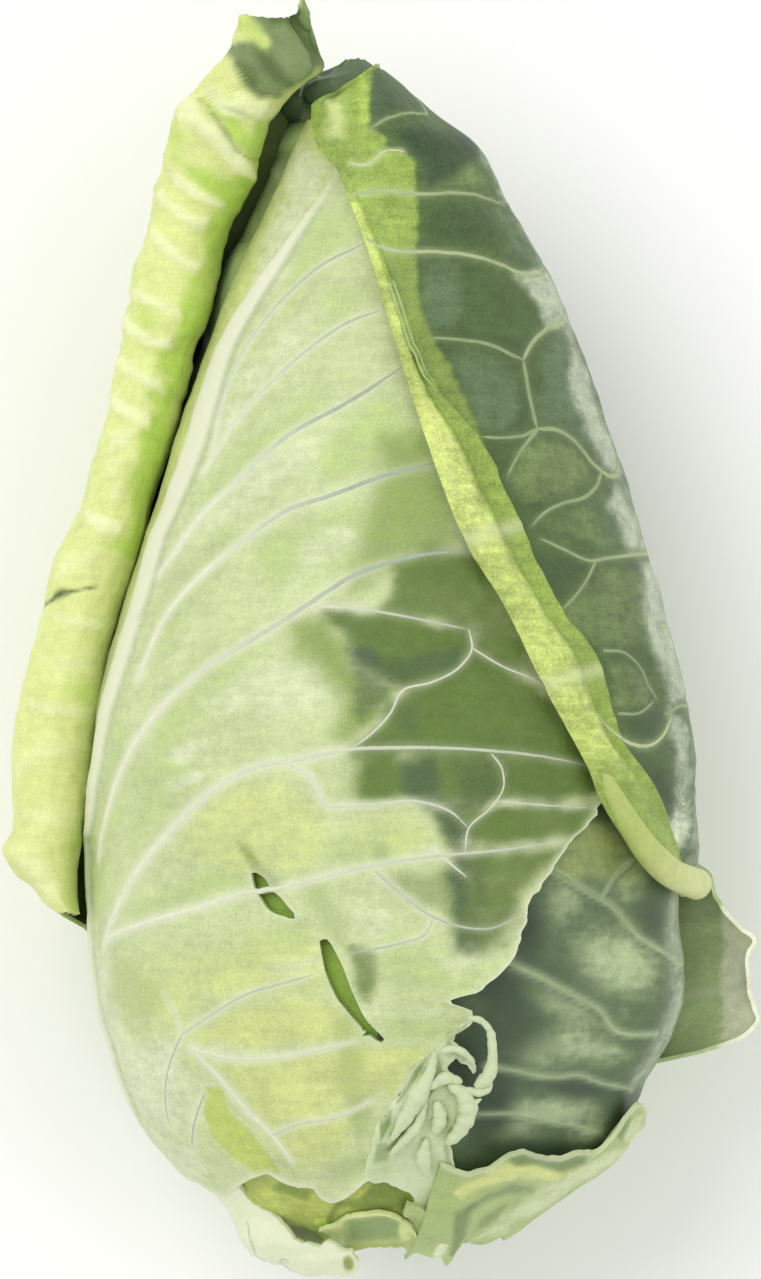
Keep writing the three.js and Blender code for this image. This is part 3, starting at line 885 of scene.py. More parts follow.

# %% [markdown]
# The side veins start thick and cream at the midrib. Towards the far side they are fine and
# lie in a shallow groove, whose shade is painted on them as grey-blue, so their slate mark
# grows along them.
# They are given as x and height seen from above, and turned into places on the leaf.

# %% Front leaf: veins
FRONT_VEINS = [
    ([(-36.3, 172), (-34.2, 183.1), (-30.4, 192.2), (-23.1, 203.1), (-15.8, 210.4), (-4.2, 216.9)],
     1.5, 1.1, 0.1, 1),
    ([(-37.8, 169), (-30.4, 180.4), (-24.1, 187.3), (-15.8, 194.7), (-8.4, 199.9), (-1.1, 202.7)],
     1.5, 1.1, 0, 0.9),
    ([(-47.2, 147.5), (-39.9, 157.9), (-30.4, 167.4), (-21, 175.8), (-9.4, 182.5), (3.5, 190.8)],
     2.2, 1.3, -0.5, 1.4),
    ([(-51.5, 126), (-46.2, 138), (-38.9, 146.8), (-30.4, 153.7), (-21, 160.7), (-11.5, 164),
      (-1.1, 167.8), (12, 171.2)], 2.1, 1.4, -0.8, 1.6),
    ([(-60.3, 88), (-56.7, 102.3), (-52.5, 111.7), (-45.1, 121.2), (-36.8, 128.5), (-26.2, 134.8),
      (-15.8, 141.5), (-8.4, 146.4), (3.1, 150.6), (18.5, 152.7)], 2.5, 1.4, -0.7, 1.4),
    ([(-15.3, 140.9), (-7.3, 140.5), (2.1, 139), (13.7, 136.7), (17.4, 135.9)], 1.3, 0.8, 0.3, 0.9),
    ([(17.4, 135.9), (18.1, 132.1), (15.8, 128.5), (9.4, 124.9), (3.6, 123.3), (1.1, 118.6),
      (-3.1, 114.2), (-7.3, 111.1)], 0.8, 0.9, 0.35, 0.4),
    ([(18.1, 132.1), (24.1, 128.5), (31.5, 125.4), (35, 123.5)], 0.8, 0.7, 0.4, 0.4),
    ([(-58.8, 69.5), (-56.1, 78.1), (-50.4, 87.6), (-44.1, 94.9), (-36.8, 101.8), (-28.3, 106.9),
      (-17.8, 109), (-7.3, 111.1), (3.1, 111.5), (17.8, 111.1), (32.5, 109.6), (43, 107.5)],
     2.3, 0.8, -0.2, 0.8),
    ([(-21.4, 108.6), (-16.8, 106.5), (-14.1, 103.3), (-13.2, 100.2), (-5.2, 99.5), (7.3, 100.2),
      (13.7, 98.1), (17.4, 94.7)], 1.3, 0.8, 0.2, 0.5),
    ([(22.1, 110.2), (24.1, 107.5), (24.6, 103.3), (22.1, 99.1), (17.4, 94.7), (16.6, 89.7)],
     0.7, 0.7, 0.4, 0.4),
    ([(24.1, 100.2), (32.5, 99.5), (42, 98.9)], 0.7, 0.7, 0.4, 0.7),
    ([(-58, 71.5), (-49.4, 75), (-38.9, 78.1), (-30.4, 80.8), (-19.9, 82.7), (-9.4, 85.5),
      (3.1, 88), (13.7, 89.2), (24.1, 90.1), (36.5, 92)], 1.7, 0.9, -0.2, 0.7),
    ([(-2.1, 85.9), (3.1, 81.3), (9.4, 76.6), (14.7, 74.5), (22.1, 73.9), (28, 76.6)],
     1, 0.8, 0.6, 0.9),
    ([(9.9, 76), (8.4, 72.9), (3.1, 70.8), (-3, 69.5), (-7, 68.7)], 1, 0.7, 0.5, 0.9),
    ([(10, 90.5), (14, 87), (17, 84.5)], 0.8, 0.6, 0, 0.4),
    ([(-42.4, 51.4), (-35.7, 56.1), (-28.3, 60.3), (-20, 62.8), (-14.8, 64.3)], 1, 0.8, 0.5, 0.8),
    ([(-40.9, 48.7), (-32.5, 46.6), (-24.1, 46.6), (-14.5, 48.3), (-6.5, 50.2)],
     1.3, 0.7, 0.1, 0.3),
    ([(-40.9, 48.7), (-34.6, 42.4), (-29.4, 36.1), (-24.1, 30.9), (-19.5, 25)], 1.3, 1, 0.2, 0),
    ([(-23.7, 30.4), (-17.8, 33), (-9.4, 34.6), (-3.1, 37.6)], 1.1, 0.8, 0.5, 0.3),
    ([(-42.4, 51.4), (-44.7, 45.6), (-45.8, 37.2), (-45, 31.9)], 0.9, 0.8, 0.7, 0.9),
    ([(-42.4, 51.4), (-43.5, 55), (-46.2, 60.3)], 0.8, 0.5, 0.2, 0.6),
    ([(-37.8, 39.3), (-39.9, 33), (-40.4, 27.7)], 0.9, 0.8, 0.8, 0.9),
]


def seen(veins, depth):
    """Veins given as x and height, as places with a turn."""
    return [([(float(turn_at(x, h, depth)), h) for x, h in places], *rest)
            for places, *rest in veins]


front_veins = seen(FRONT_VEINS, FRONT_DEPTH)
front_near = Near(front, front_veins)
print(len(FRONT_VEINS), "veins on the front leaf")

# %% [markdown]
# The midrib is broad and flat at the stalk and narrows to the point. It could be a piece of
# its own, but in a real leaf it is one with the blade, so it is raised out of the same grid.
# The blade swells between its veins, ripples a little and curls up along its torn edge.

# %% Front leaf: midrib, relief and tears
MIDRIB = [
    (34.7, -54.4), (43.7, -56.9), (53.6, -59.2), (63.6, -60.7), (78.5, -63.2), (86.3, -62.6),
    (93.9, -61.7), (102.5, -60.7), (113, -58.9), (124.3, -56.2), (135, -53.1), (146.4, -49.8),
    (155, -47.4), (163.6, -43.7), (174.1, -39.7), (183.3, -37), (192.4, -34), (200.6, -29.9),
    (209.8, -24.4), (218.8, -18.1), (231.6, -9.8),
]
MIDRIB_WIDTH = [  # as seen from above
    (33, 0.8), (36, 2.8), (43.7, 5), (53.6, 4.8), (63.6, 3.8), (78.5, 2.6), (93.9, 2.6),
    (102.5, 3.2),
    (113, 4.8), (124.3, 5.2), (135, 5), (155, 4.4), (174, 3.8), (192, 3.2), (210, 2.8), (231, 1.6),
]
WIDEST_RIB = 8.5  # down the side, where it is seen edge on
rib_spots = on_head(turn_at(through(MIDRIB, front_rows), front_rows, FRONT_DEPTH),
                    front_rows, FRONT_DEPTH)
rib_side = np.linalg.norm((front_base - rib_spots[:, None])[..., [0, 2]], axis=-1)
rib_side = rib_side * np.sign(front.x - rib_spots[:, None, 0])
rib_radius = np.maximum(skin_radius(front_rows) - FRONT_DEPTH, 1)
rib_slope = np.abs(rib_spots[:, 2] - AXIS_Z) / rib_radius
rib_width = through(MIDRIB_WIDTH, front_rows) / np.clip(rib_slope, 0.35, 1)
rib_half = np.minimum(rib_width, WIDEST_RIB)[:, None] / 2
rib_on = (1 - ease(front_rows, 214, 236))[:, None] * ease(front_rows, 22, 40)[:, None]
rib_across = rib_side / rib_half
midrib = rib_on * (1 - ease(np.abs(rib_across), 0.75, 1.15))
midrib_crown = rib_on * np.sqrt(np.clip(1 - (rib_across * 0.9) ** 2, 0, 1))

TEARS = [  # (x, height, half width) along the middle of each tear
    [(-27.2, 85.2, 0.6), (-26, 83.4, 1.6), (-24.8, 81.2, 1.7), (-23, 79.2, 2.1), (-20.8, 77.6, 1.3),
     (-19.2, 76.6, 0.8)],
    [(-12.4, 70.8, 1.2), (-11.6, 68.6, 1.7), (-10.4, 65, 2.2), (-8.8, 61, 2.1), (-6.8, 57.6, 1.6),
     (-5.4, 55.4, 1.2), (-3.6, 53.2, 1.05), (-2, 51.8, 0.95), (-0.8, 50.8, 0.8)],
]
FAR = 99.0
NARROWED = 0.86  # the tears close up a little


def tear_distance(points):
    """Distance outside the tears in mm, seen from above, less than 0 inside them."""
    across, up = from_above(points)
    total = np.full(across.shape, FAR)
    for tear in TEARS:
        for x, y, half in smooth_path(tear, 0.4):
            total = np.minimum(total, np.hypot(across - x, up - y) - NARROWED * half)
    return total + 0.05 * wander(across / 2.4, up / 2.4, 51)


ridge = front_near.line(0.6, 0.5)
swell = 0.55 * front_near.swell(9, 0.8) * (0.8 + 0.6 * front.clouds(11, 11, 61))
soft_waves = 0.6 * front.clouds(16, 22, 64)
puckers = 0.14 * front.clouds(3.2, 3.2, 67)
tears = tear_distance(front_base)
lifted = 0.6 * bell(np.maximum(tears, 0), 1.8)
margin = np.minimum(front.from_side("right"), np.maximum(above_foot, 0))
curled = 0.7 * bell(margin, 2.2) * (front_rows < 110)[:, None]
front.raise_by(0.3 * ridge + swell + soft_waves + puckers + lifted + curled
               + 1.3 * midrib_crown - 0.4)
print("front leaf raised by up to", float((swell + midrib_crown).max().round(2)), "mm")

# %% [markdown]
# Its colour goes from chalky pale green at the upper left, through fresh green, to a deep
# mottled green on the right, and to yellow-green below. Both tears have a soft painted
# shade beside them, and the torn edge is dry and pale.

# %% Front leaf: where each green lies
FRONT_DARK = [
    ([(2, 150), (9, 153), (20, 152), (29, 134), (30, 128), (19, 131), (17, 135), (3, 138),
      (0, 141)], 3.2, 0.9),
    ([(-6, 138), (8, 138), (17, 136), (20, 132), (27, 129), (36, 121), (44, 108), (42, 101),
      (20, 101), (6, 109), (-6, 110), (3, 123), (-6, 133)], 2.5, 0.8),
    ([(-13, 140), (-3, 140), (12, 136), (17, 136), (17, 131), (15, 128), (4, 124),
      (-5, 129)], 2.6, 0.97),
    ([(43, 109), (-7, 111), (1, 120), (4, 122), (12, 125), (18, 130), (24, 128),
      (34, 120)], 1.8, 0.95),
    ([(-5, 109), (20, 109), (44, 107), (45, 102), (9, 100), (-5, 101)], 2.4, 0.93),
    ([(9, 99), (43, 100), (44, 98), (40, 93), (18, 91), (13, 92)], 2.6, 0.9),
    ([(38, 91), (29, 81), (28, 75), (25, 71), (20, 69), (15, 71), (13, 79), (14, 90)], 3, 0.82),
    ([(0, 85), (13, 87), (15, 83), (14, 78), (8, 78), (3, 81)], 2, 0.5),
    ([(-4, 92), (0, 92), (1, 88), (-3, 87)], 1.6, 0.35),
    ([(-32, 94), (-28, 91), (-21, 82), (-24, 81), (-28, 86)], 1.5, 0.55),
    ([(-7, 70), (-3, 69), (-2, 63), (-3, 58), (-6, 61)], 1.8, 0.7),
]
FRONT_DEEP = [
    ([(3, 109), (10, 109), (12, 103), (18, 93), (17, 78), (18, 69), (14, 68), (13, 90), (9, 98),
      (4, 101)], 2.2, 0.7),
    ([(14, 109), (22, 109), (24, 103), (20, 98), (15, 99)], 1.8, 0.5),
    ([(22, 90), (22, 79), (20, 70), (17, 69), (18, 90)], 2, 0.4),
    ([(-3, 132), (2, 125), (0, 121), (-5, 116), (-7, 119), (-6, 125), (-8, 131)], 2, 0.6),
    ([(2, 120), (7, 120), (7, 114), (4, 113)], 1.6, 0.4),
    ([(-8, 132), (3, 130), (14, 132), (16, 133), (15, 128), (4, 124)], 1.4, 0.6),
]
# Painted shade: soft grey-green beside the tears and in patches on the blade.
FRONT_SHADE = [
    ([(-21, 138), (-12, 140), (-5, 128), (3, 123), (-6, 112), (-10, 114), (-8, 121),
      (-19, 132)], 4.6, 0.95),
    ([(9, 177), (17, 154), (-7, 144), (-8, 148), (-4, 156), (-1, 176)], 4.5, 0.75),
    ([(3, 111), (3, 100), (-7, 100), (-9, 102), (-7, 110)], 4, 0.75),
    ([(-18, 86), (-12, 83), (-7, 76), (-8, 70), (-13, 72), (-16, 78)], 2.6, 0.4),
    ([(-11, 56), (-6, 56), (-4, 46), (-7, 35), (-11, 41)], 2.5, 0.4),
    ([(-3, 40), (-3, 31), (-6, 28), (-8, 32), (-7, 39)], 2, 0.45),
    ([(-13, 23), (-8, 27), (0, 28), (-2, 24), (-8, 21)], 2, 0.4),
    ([(-49, 52), (-46, 60), (-51, 67), (-57, 66), (-58, 58)], 3, 0.35),
]
FRONT_FRESH = [
    ([(-55, 117), (-52, 109), (-60, 78), (-61, 83), (-59, 111)], 3, 0.45),
    ([(-25, 132), (-32, 123), (-47, 109), (-49, 113), (-47, 121), (-41, 130), (-30, 134)], 3, 0.45),
    ([(-39, 112), (-41, 102), (-47, 94), (-56, 88), (-51, 109)], 3, 0.45),
    ([(-40, 163), (-30, 174), (-18, 184), (-8, 190), (-12, 184), (-36, 159)], 3.5, 0.5),
    ([(12, 167), (13, 159), (-24, 142), (-28, 154), (-12, 161)], 4, 0.55),
    ([(-32, 158), (-30, 154), (-45, 134), (-49, 125), (-45, 142), (-39, 151)], 3, 0.5),
    ([(2, 188), (8, 173), (-14, 165), (-12, 178)], 4, 0.55),
    ([(-8, 227), (-5, 219), (-20, 203), (-22, 207), (-18, 220)], 3.5, 0.5),
    ([(-3, 210), (-2, 205), (-20, 195), (-12, 208)], 3.5, 0.5),
    ([(-28, 90), (-29, 82), (-45, 77), (-56, 72), (-54, 79)], 3, 0.5),
    ([(9, 93), (3, 87), (-7, 85), (-14, 88), (-12, 94), (1, 96)], 3, 0.45),
    ([(24, 70), (20, 63), (9, 60), (-1, 61), (-2, 68), (1, 73), (12, 70)], 3.5, 0.5),
    ([(15, 53), (9, 49), (0, 50), (-3, 54), (2, 58), (12, 57)], 2.5, 0.5),
    ([(-13, 71), (-22, 67), (-32, 66), (-28, 73), (-16, 76)], 3, 0.5),
]
FRONT_WARM = [
    ([(-41, 47), (-28, 46), (3, 50), (11, 49), (5, 44), (2, 38), (-1, 40), (-24, 32),
      (-36, 45)], 2, 0.85),
    ([(-26, 30), (-12, 36), (-7, 37), (-7, 31), (-9, 26), (-18, 22)], 2.2, 0.8),
    ([(-40, 52), (-32, 57), (-18, 60), (-10, 58), (-5, 52), (-26, 48), (-38, 49)], 2.4, 0.85),
    ([(-59, 67), (-28, 73), (-12, 71), (-10, 64), (-28, 60), (-39, 56), (-44, 52),
      (-55, 55)], 4, 0.5),
    ([(-13, 100), (-11, 91), (-18, 85), (-32, 85), (-43, 88), (-43, 95), (-37, 102),
      (-26, 105)], 3.5, 0.65),
    ([(-41, 63), (-28, 67), (-14, 69), (-12, 62), (-26, 60)], 3.5, 0.5),
    ([(-8, 99), (7, 99), (12, 93), (3, 90), (-8, 91)], 3, 0.4),
    ([(-41, 197), (-36, 195), (-49, 142), (-51, 144)], 2.5, 0.4),
]
FRONT_GOLD = [
    ([(-38, 40.5), (-34, 40), (-33, 36), (-28.5, 31.5), (-21, 22.5), (-26, 22.5), (-31, 25),
      (-36, 29.5), (-38, 35)], 0.7, 0.95),
]
FRONT_PALE = [
    ([(-18, 239), (-14, 237), (-11, 232), (-24, 207), (-28, 203), (-26, 216)], 3, 0.8),
    ([(-12, 203), (-36, 173), (-36, 178), (-29, 190), (-18, 201)], 2.5, 0.6),
    ([(-8, 179), (-20, 168), (-38, 154), (-38, 159), (-26, 170), (-14, 178)], 2.5, 0.6),
    ([(-7, 159), (-5, 154), (-20, 144), (-18, 155)], 3, 0.6),
    ([(-61, 72), (-57, 67), (-56, 58), (-53, 49), (-45, 52), (-43, 49), (-45, 39), (-45, 31),
      (-40, 27), (-38, 22), (-43, 22), (-50, 30), (-56, 34), (-60, 47), (-62, 58)], 2, 0.7),
    ([(-51, 48), (-43, 47), (-36, 40), (-40, 27), (-46, 31), (-46, 40)], 2, 0.5),
    # These two thin streaks are painted highlights.
    ([(-46, 109), (-42, 112), (-36, 114), (-38, 111), (-42, 108)], 1.5, 0.8),
    ([(-45, 104), (-41, 106), (-38, 106), (-40, 104), (-44, 102)], 1.5, 0.7),
    ([(-39, 121), (-26, 130), (-12, 130), (-9, 121), (-20, 118), (-32, 117)], 3, 0.5),
    ([(-1, 82), (2, 77), (-1, 72), (-6, 71), (-7, 80)], 3.5, 0.5),
    ([(-26, 66), (-14, 69), (-13, 66), (-24, 63)], 2, 0.5),
    ([(-9, 58), (12, 58), (14, 54), (9, 54), (-3, 56)], 2, 0.55),
    ([(-38, 48), (-26, 46), (-12, 48), (-12, 50), (-26, 48), (-36, 50)], 2, 0.6),
    ([(9, 68), (24, 72), (27, 74), (25, 69), (14, 63)], 2.5, 0.5),
]
print("front leaf areas", sum(map(len, (FRONT_DARK, FRONT_DEEP, FRONT_SHADE, FRONT_FRESH,
                                         FRONT_WARM, FRONT_GOLD, FRONT_PALE))))

# %% [markdown]
# The painted areas become marks, and the finish lays its washes where they say. Veins and
# edges are pale where little green lies over them. The blade thins out towards its edge.

# %% Front leaf: marks, finish and sheet
halo = front_near.line(0.65, 0.35)
free_edge = bell(margin, 0.8) * (front_rows < 104)[:, None]
gap_strip = ease(-rib_side, 0.3, 2.5) * ease(front_rows, 120, 160)[:, None]
torn_edge = bell(np.maximum(tears, 0), 0.7)
mottle = 0.5 + 0.5 * front.clouds(4, 4, 73)
dark = painted(front_base, FRONT_DARK, 5, 1.6)
front.mark("dark", dark * (0.86 + 0.22 * mottle))
front.mark("deep", painted(front_base, FRONT_DEEP, 6, 1.2))
front.mark("shade", painted(front_base, FRONT_SHADE, 4, 2.0))
front.mark("fresh", np.maximum(painted(front_base, FRONT_FRESH, 7, 2.0), 0.25 * mottle))
front.mark("warm", np.maximum(painted(front_base, FRONT_WARM, 8, 1.2), 0.8 * gap_strip))
front.mark("gold", painted(front_base, FRONT_GOLD, 9, 0.5))
front.mark("pale", painted(front_base, FRONT_PALE, 10, 1.5))
# A thin line of painted shade along the midrib's right side.
rib_shade_line = rib_on * bell((rib_across - 1.1) * rib_half, 0.5) * 0.35
paleness = 1 - 0.45 * front_near.slate * (front_near.slate > 0)
in_dark = 1 - 0.75 * dark
front.mark("cream", np.maximum.reduce([
    midrib * 0.92, halo * 0.8 * paleness * in_dark, free_edge * 0.75, torn_edge * 0.25]))
front.mark("slate", rib_shade_line)

FRONT_GREEN = (0.53, 0.61, 0.315)
pale_finish = leaf_finish("front_leaf_green", FRONT_GREEN, [
    ("fresh", (0.40, 0.53, 0.17)), ("warm", (0.555, 0.62, 0.235)),
    ("pale", (0.62, 0.675, 0.44)), ("shade", (0.24, 0.335, 0.085)),
    ("dark", (0.108, 0.175, 0.033)), ("deep", (0.065, 0.11, 0.05)),
    ("gold", (0.46, 0.55, 0.14), 0.4)], drift=0.21)
# Its second colour is the grey-blue painted shade of the groove that the fine veins lie in.
vein_finish = cream_finish("vein_cream", CREAM, (0.36, 0.43, 0.33))
thickness = 0.95 - 0.45 * bell(margin, 1.5)
front_cut = np.minimum(tears, above_foot)
front_piece = sheet("front_leaf_sheet", front, thickness, pale_finish, front_cut)
finished(front_piece, "pale_leaf", "front_leaf")
front_ribs = vein_ribs("front_leaf_veins", front, front_veins, vein_finish, proud=0.22)
finished(front_ribs, "pale_leaf")

# %% [markdown]
# The right leaf covers the head's right side. Its stem is a thick rounded rib that runs
# down its left edge to a blunt cut end at the lower right. Beside the rib the blade is
# doubled back in a narrow lime-green fold, and from there it goes round to the back, dark
# and blue-green with a net of pale veins. The grid has its own columns for the rib.

# %% Right leaf: grid
RIB_LEFT = [
    (80, 62), (88, 53.5), (100, 45.2), (107.5, 42), (123, 33.6), (142, 24.2), (154, 16.8),
    (176, 8.4), (196, 2.1), (217, -4.2), (226, -7.6), (230.4, -9.2), (232.5, -10.2), (235, -12.4),
    (237.5, -14.2), (243, -15), (245.5, -15), (247.2, -12.8), (249.3, -9.6), (251.4, -6.3),
    (254, -3),
]
RIB_RIGHT = [
    (80, 64.8), (88, 62), (102, 56.7), (113, 49.4), (130, 44), (140, 36.8), (157, 28.4), (175, 20),
    (184, 12.5), (197, 4.8), (208, -1.5), (217, -3.2), (230, -7), (246, -13), (254, -1),
]
RIB_HEIGHT = [
    (80, 0.8), (92, 1.2), (102, 1.8), (110, 3.2), (140, 3), (175, 2.2), (200, 1.2), (218, 0),
]
RIGHT_BACK = [(80, 97), (88, 110), (104, 122), (213, 135), (254, 170)]
RIB_COLUMNS = 30
right_rows = np.linspace(80, 254, 226)
fold_waves = 0.5 * cloudy(right_rows / 7, 0, 91) + 0.25 * wander(right_rows / 2.2, 0, 93)
fold_waves = fold_waves * ease(right_rows, 100, 112)
rib_from = turn_at(through(RIB_LEFT, right_rows), right_rows, 0)
rib_to = turn_at(through(RIB_RIGHT, right_rows) + fold_waves, right_rows, 0)
rib_to = np.maximum(rib_from + 5, rib_to)
right_to = through(RIGHT_BACK, right_rows) + 1.2 * cloudy(right_rows / 9, 0, 95)
rib_share = np.linspace(0, 1, RIB_COLUMNS)
blade_share = np.linspace(0, 1, 96)[1:]
right_turns = np.concatenate((
    rib_from[:, None] + (rib_to - rib_from)[:, None] * rib_share,
    rib_to[:, None] + (right_to - rib_to)[:, None] * blade_share), axis=1)
right_base = on_head(right_turns, right_rows[:, None], 0)
right = Leaf(right_rows, right_turns, right_base)
print("right leaf grid", right_base.shape[:2])

# %% [markdown]
# Its veins are the pale net that stands out most on the whole head. Those seen from above
# are given as x and height. Round the side and on the back they run on more plainly.

# %% Right leaf: veins
RIGHT_VEINS = [
    ([(-3.6, 240.4), (0, 242.5), (3.1, 243.6), (8.4, 243.8), (12.6, 242.3),
      (16.2, 239.8)], 1.5, 1.2),
    ([(-7.3, 233.5), (-4.8, 232.9), (-2.7, 233.5), (-0.8, 235.4), (1.5, 236),
      (4, 235.8)], 0.8, 0.8, 1, 1),
    ([(-6.9, 227), (0, 227.4), (7.3, 226.8), (13.7, 227.2), (17.8, 227), (22.1, 225.8),
      (24.8, 224.9)], 1.5, 1.4, 0.6, 0),
    ([(-4, 217.8), (-1.9, 216.3), (2.3, 214.8), (9.4, 214.6), (17.8, 214), (24.1, 212.1),
      (27.9, 210.4), (33.6, 211)], 1.5, 1.9, 0.6, 0.2),
    ([(9.9, 196.8), (15.8, 196.3), (22.1, 195.1), (25.8, 193.4), (28.6, 192.2)], 1.2, 1.9),
    ([(28.6, 192.2), (30.4, 195.5), (33.6, 198.7), (36.8, 201), (38.9, 202.7)], 1.8, 1.9, 0.2, 0.5),
    ([(28.6, 192.2), (29.4, 187.3), (30.4, 182.1), (31.5, 177.7)], 1.9, 2),
    ([(31.5, 177.7), (28.3, 176.2), (24.1, 175.8), (19.9, 176)], 1.7, 0.8),
    ([(31.5, 177.7), (27.7, 172.6), (25.2, 167.8)], 1.8, 0.9),
    ([(31.5, 177.7), (35.9, 177.4), (40.1, 174.5), (43, 170.7), (44.9, 169),
      (48.9, 168.2)], 2, 2.1, 0, 0.4),
    ([(44.9, 168.8), (43.5, 165.3), (40.9, 163.2), (36.8, 162.1), (32.5, 159.8),
      (30.4, 157.5)], 1.7, 1.2, 0.1, 0),
    ([(32.1, 154.8), (36.8, 152.7), (43, 150.2), (45.1, 150.6), (49.4, 151.2),
      (54.8, 152)], 1.2, 1.8, 0, 0.5),
    ([(43.7, 150.2), (42, 146.4), (38.9, 142.2), (36.8, 140.1)], 1.5, 0.9),
    ([(45.1, 131.5), (49.8, 130.8), (52.9, 127.7), (54.8, 123.7), (56.5, 121.2)], 1.2, 1),
    ([(48.1, 118.4), (52.3, 118.4), (55.6, 120.8)], 1.1, 1),
    ([(43.9, 118.9), (47, 114.9), (50.4, 112.3), (54.6, 111.7), (57.8, 113.8),
      (59.4, 117.2)], 1.1, 1.4, 0.8, 0.8),
    ([(56.7, 136.3), (59, 135.7), (60.7, 133.3)], 1, 1.3, 0.3, 0.6),
    ([(58.2, 118.2), (60.7, 119.7), (63.6, 119.5)], 1.2, 1.2, 0, 0.4),
    ([(60.3, 102.3), (61.9, 98.9), (63.6, 100.2)], 1.2, 1.2, 0, 0.2),
]
# Round the side and on the back the side veins run on, given as (turn, height).
RIGHT_BACK_VEINS = [
    ([(90, 239.4), (104, 237), (120, 231)], 1.1, 0.6),
    ([(73, 225.7), (90, 225), (110, 222), (130, 215)], 1, 0.6),
    ([(72, 210.4), (84, 212), (96, 217), (112, 216), (129, 211)], 1.3, 0.6),
    ([(79, 201.6), (88, 204), (100, 200), (112, 203), (127, 196)], 1.4, 0.6),
    ([(100, 200), (102, 192), (108, 186), (124, 182)], 0.9, 0.5),
    ([(76, 168.9), (86, 172), (96, 178), (106, 176), (122, 168)], 1.5, 0.6),
    ([(96, 178), (98, 186), (102, 192)], 0.8, 0.7),
    ([(75, 152.2), (84, 156), (94, 154), (102, 158), (122, 150)], 1.3, 0.6),
    ([(94, 154), (96, 144), (104, 138), (121, 134)], 0.9, 0.5),
    ([(80, 119.3), (88, 124), (96, 122), (104, 126), (118, 120)], 1.1, 0.5),
    ([(88, 124), (86, 134), (94, 140), (96, 144)], 0.8, 0.7),
    ([(84, 98.5), (92, 102), (100, 100), (112, 104)], 1, 0.5),
]
right_veins = seen(RIGHT_VEINS, 0) + RIGHT_BACK_VEINS
right_near = Near(right, right_veins)
print(len(right_veins), "veins on the right leaf")

# %% [markdown]
# The rib is a rounded ridge with two pale joints across it, and beside it the doubled blade
# stands up as a sharp edge. Both are raised from the columns that the grid keeps for them,
# which keeps rib and blade one skin, as they are on the leaf.

# %% Right leaf: rib, fold and relief
right_h = right_rows[:, None]
rib_place = np.clip((right_turns - rib_from[:, None]) / (rib_to - rib_from)[:, None], 0, 1)
on_rib = (rib_place < 1).astype(float)
RIB_EDGE = [(80, 0.95), (100, 0.8), (120, 0.7), (150, 0.66), (180, 0.6), (200, 0.8), (217, 0.9)]
rib_edge = through(RIB_EDGE, right_h)
crown = np.sin(math.pi * np.clip(rib_place / rib_edge, 0, 1)) ** 0.8
JOINTS = [(126, 1.5), (156, 1.6)]  # heights of the pale creases across the rib
joint = sum(bell(right_h - h - 3.5 * (rib_place - 0.5), reach) for h, reach in JOINTS)
rib_relief = through(RIB_HEIGHT, right_h) * crown * on_rib * 0.95
rib_relief = rib_relief * (1 + 0.1 * wander(right_h / 12, 0, 107)) + on_rib * joint * 0.4
fold_edge = ease(rib_place, 0.72, 1) * ease(right_h, 88, 100) * (1 - ease(right_h, 206, 216))
ridge = right_near.line(0.55, 0.5)
off_rib = 1 - on_rib
swell = right_near.swell(7, 0.7) * off_rib * (0.85 + 0.5 * right.clouds(9, 9, 101))
swell = swell * ease(right_turns - rib_to[:, None], 0, 9)
waves = 0.5 * cloudy(right_turns / 16, right_h / 18, 103) * off_rib
puckers = 0.15 * cloudy(right_turns / 3.2, right_h / 3.2, 105)
# The tip has a small flap folded down over the front leaf, with a crease and a swelling.
FLAP_SWELLING = [([(-12.4, 246.5), (-9.8, 247), (-8, 243), (-8.6, 238.6), (-12.2, 238.8)], 1.5, 1)]
FLAP_CREASE = [([(-11.6, 257), (-9, 257), (-9, 249), (-10.6, 245.5), (-11.8, 249)], 1.0, 1)]
folded = ease(right_h, 230, 240) * (1 - ease(rib_place, 0.5, 1)) * on_rib
swelling = painted(right_base, FLAP_SWELLING, 116, 0.3)
crease = painted(right_base, FLAP_CREASE, 117, 0.3)
calm = 1 - 0.85 * ease(right_h, 246, 253)
right.raise_by((rib_relief + fold_edge * on_rib * 0.9 + swell + 0.35 * ridge * off_rib + waves
                + puckers + 0.8 * folded + 0.9 * swelling - 0.9 * crease) * calm)

# %% [markdown]
# Each part of the blade has its own green: lime where it was shut away from the light,
# and olive and blue where the wax bloom is thin or thick. Where it turns away from the eye
# it has a whitish edge, a painted sheen of the bloom. They are painted as areas, for no
# rule of growth gives them.

# %% Right leaf: where each green lies
RIGHT_LIME = [
    ([(-20, 260), (-2.5, 254.5), (-4, 241.5), (0, 239), (0, 236), (3, 236), (6, 233.5), (6.5, 226),
      (6.5, 207.5), (8, 200.5), (13, 191.5), (21, 173.5), (3, 169.5), (-18, 184)], 1.2, 1),
]
RIGHT_DEEP = [
    ([(-3, 253), (4, 250), (10, 245), (4, 244), (-2, 242)], 1.6, 0.6),
    ([(2, 240), (9, 242), (17, 239), (20, 235), (15, 231), (9, 228), (7, 233)], 2, 0.9),
    ([(8, 225), (22, 225), (24, 216), (8, 216)], 3, 0.5),
    ([(15, 199), (28, 196), (30, 199), (32, 196), (28, 190), (22, 194), (15, 196)], 1.5, 0.6),
    ([(28, 190), (31, 182), (29, 177), (24, 177), (28, 182)], 1.5, 0.6),
    ([(24, 151), (37, 152), (42, 149), (37, 142), (32, 144)], 2, 0.6),
    ([(48, 119), (56, 120), (58, 118), (56, 113), (51, 114)], 1.5, 0.7),
    ([(50, 111), (58, 106), (64, 100), (64, 88), (60, 90), (57, 100), (52, 105)], 3, 0.8),
]
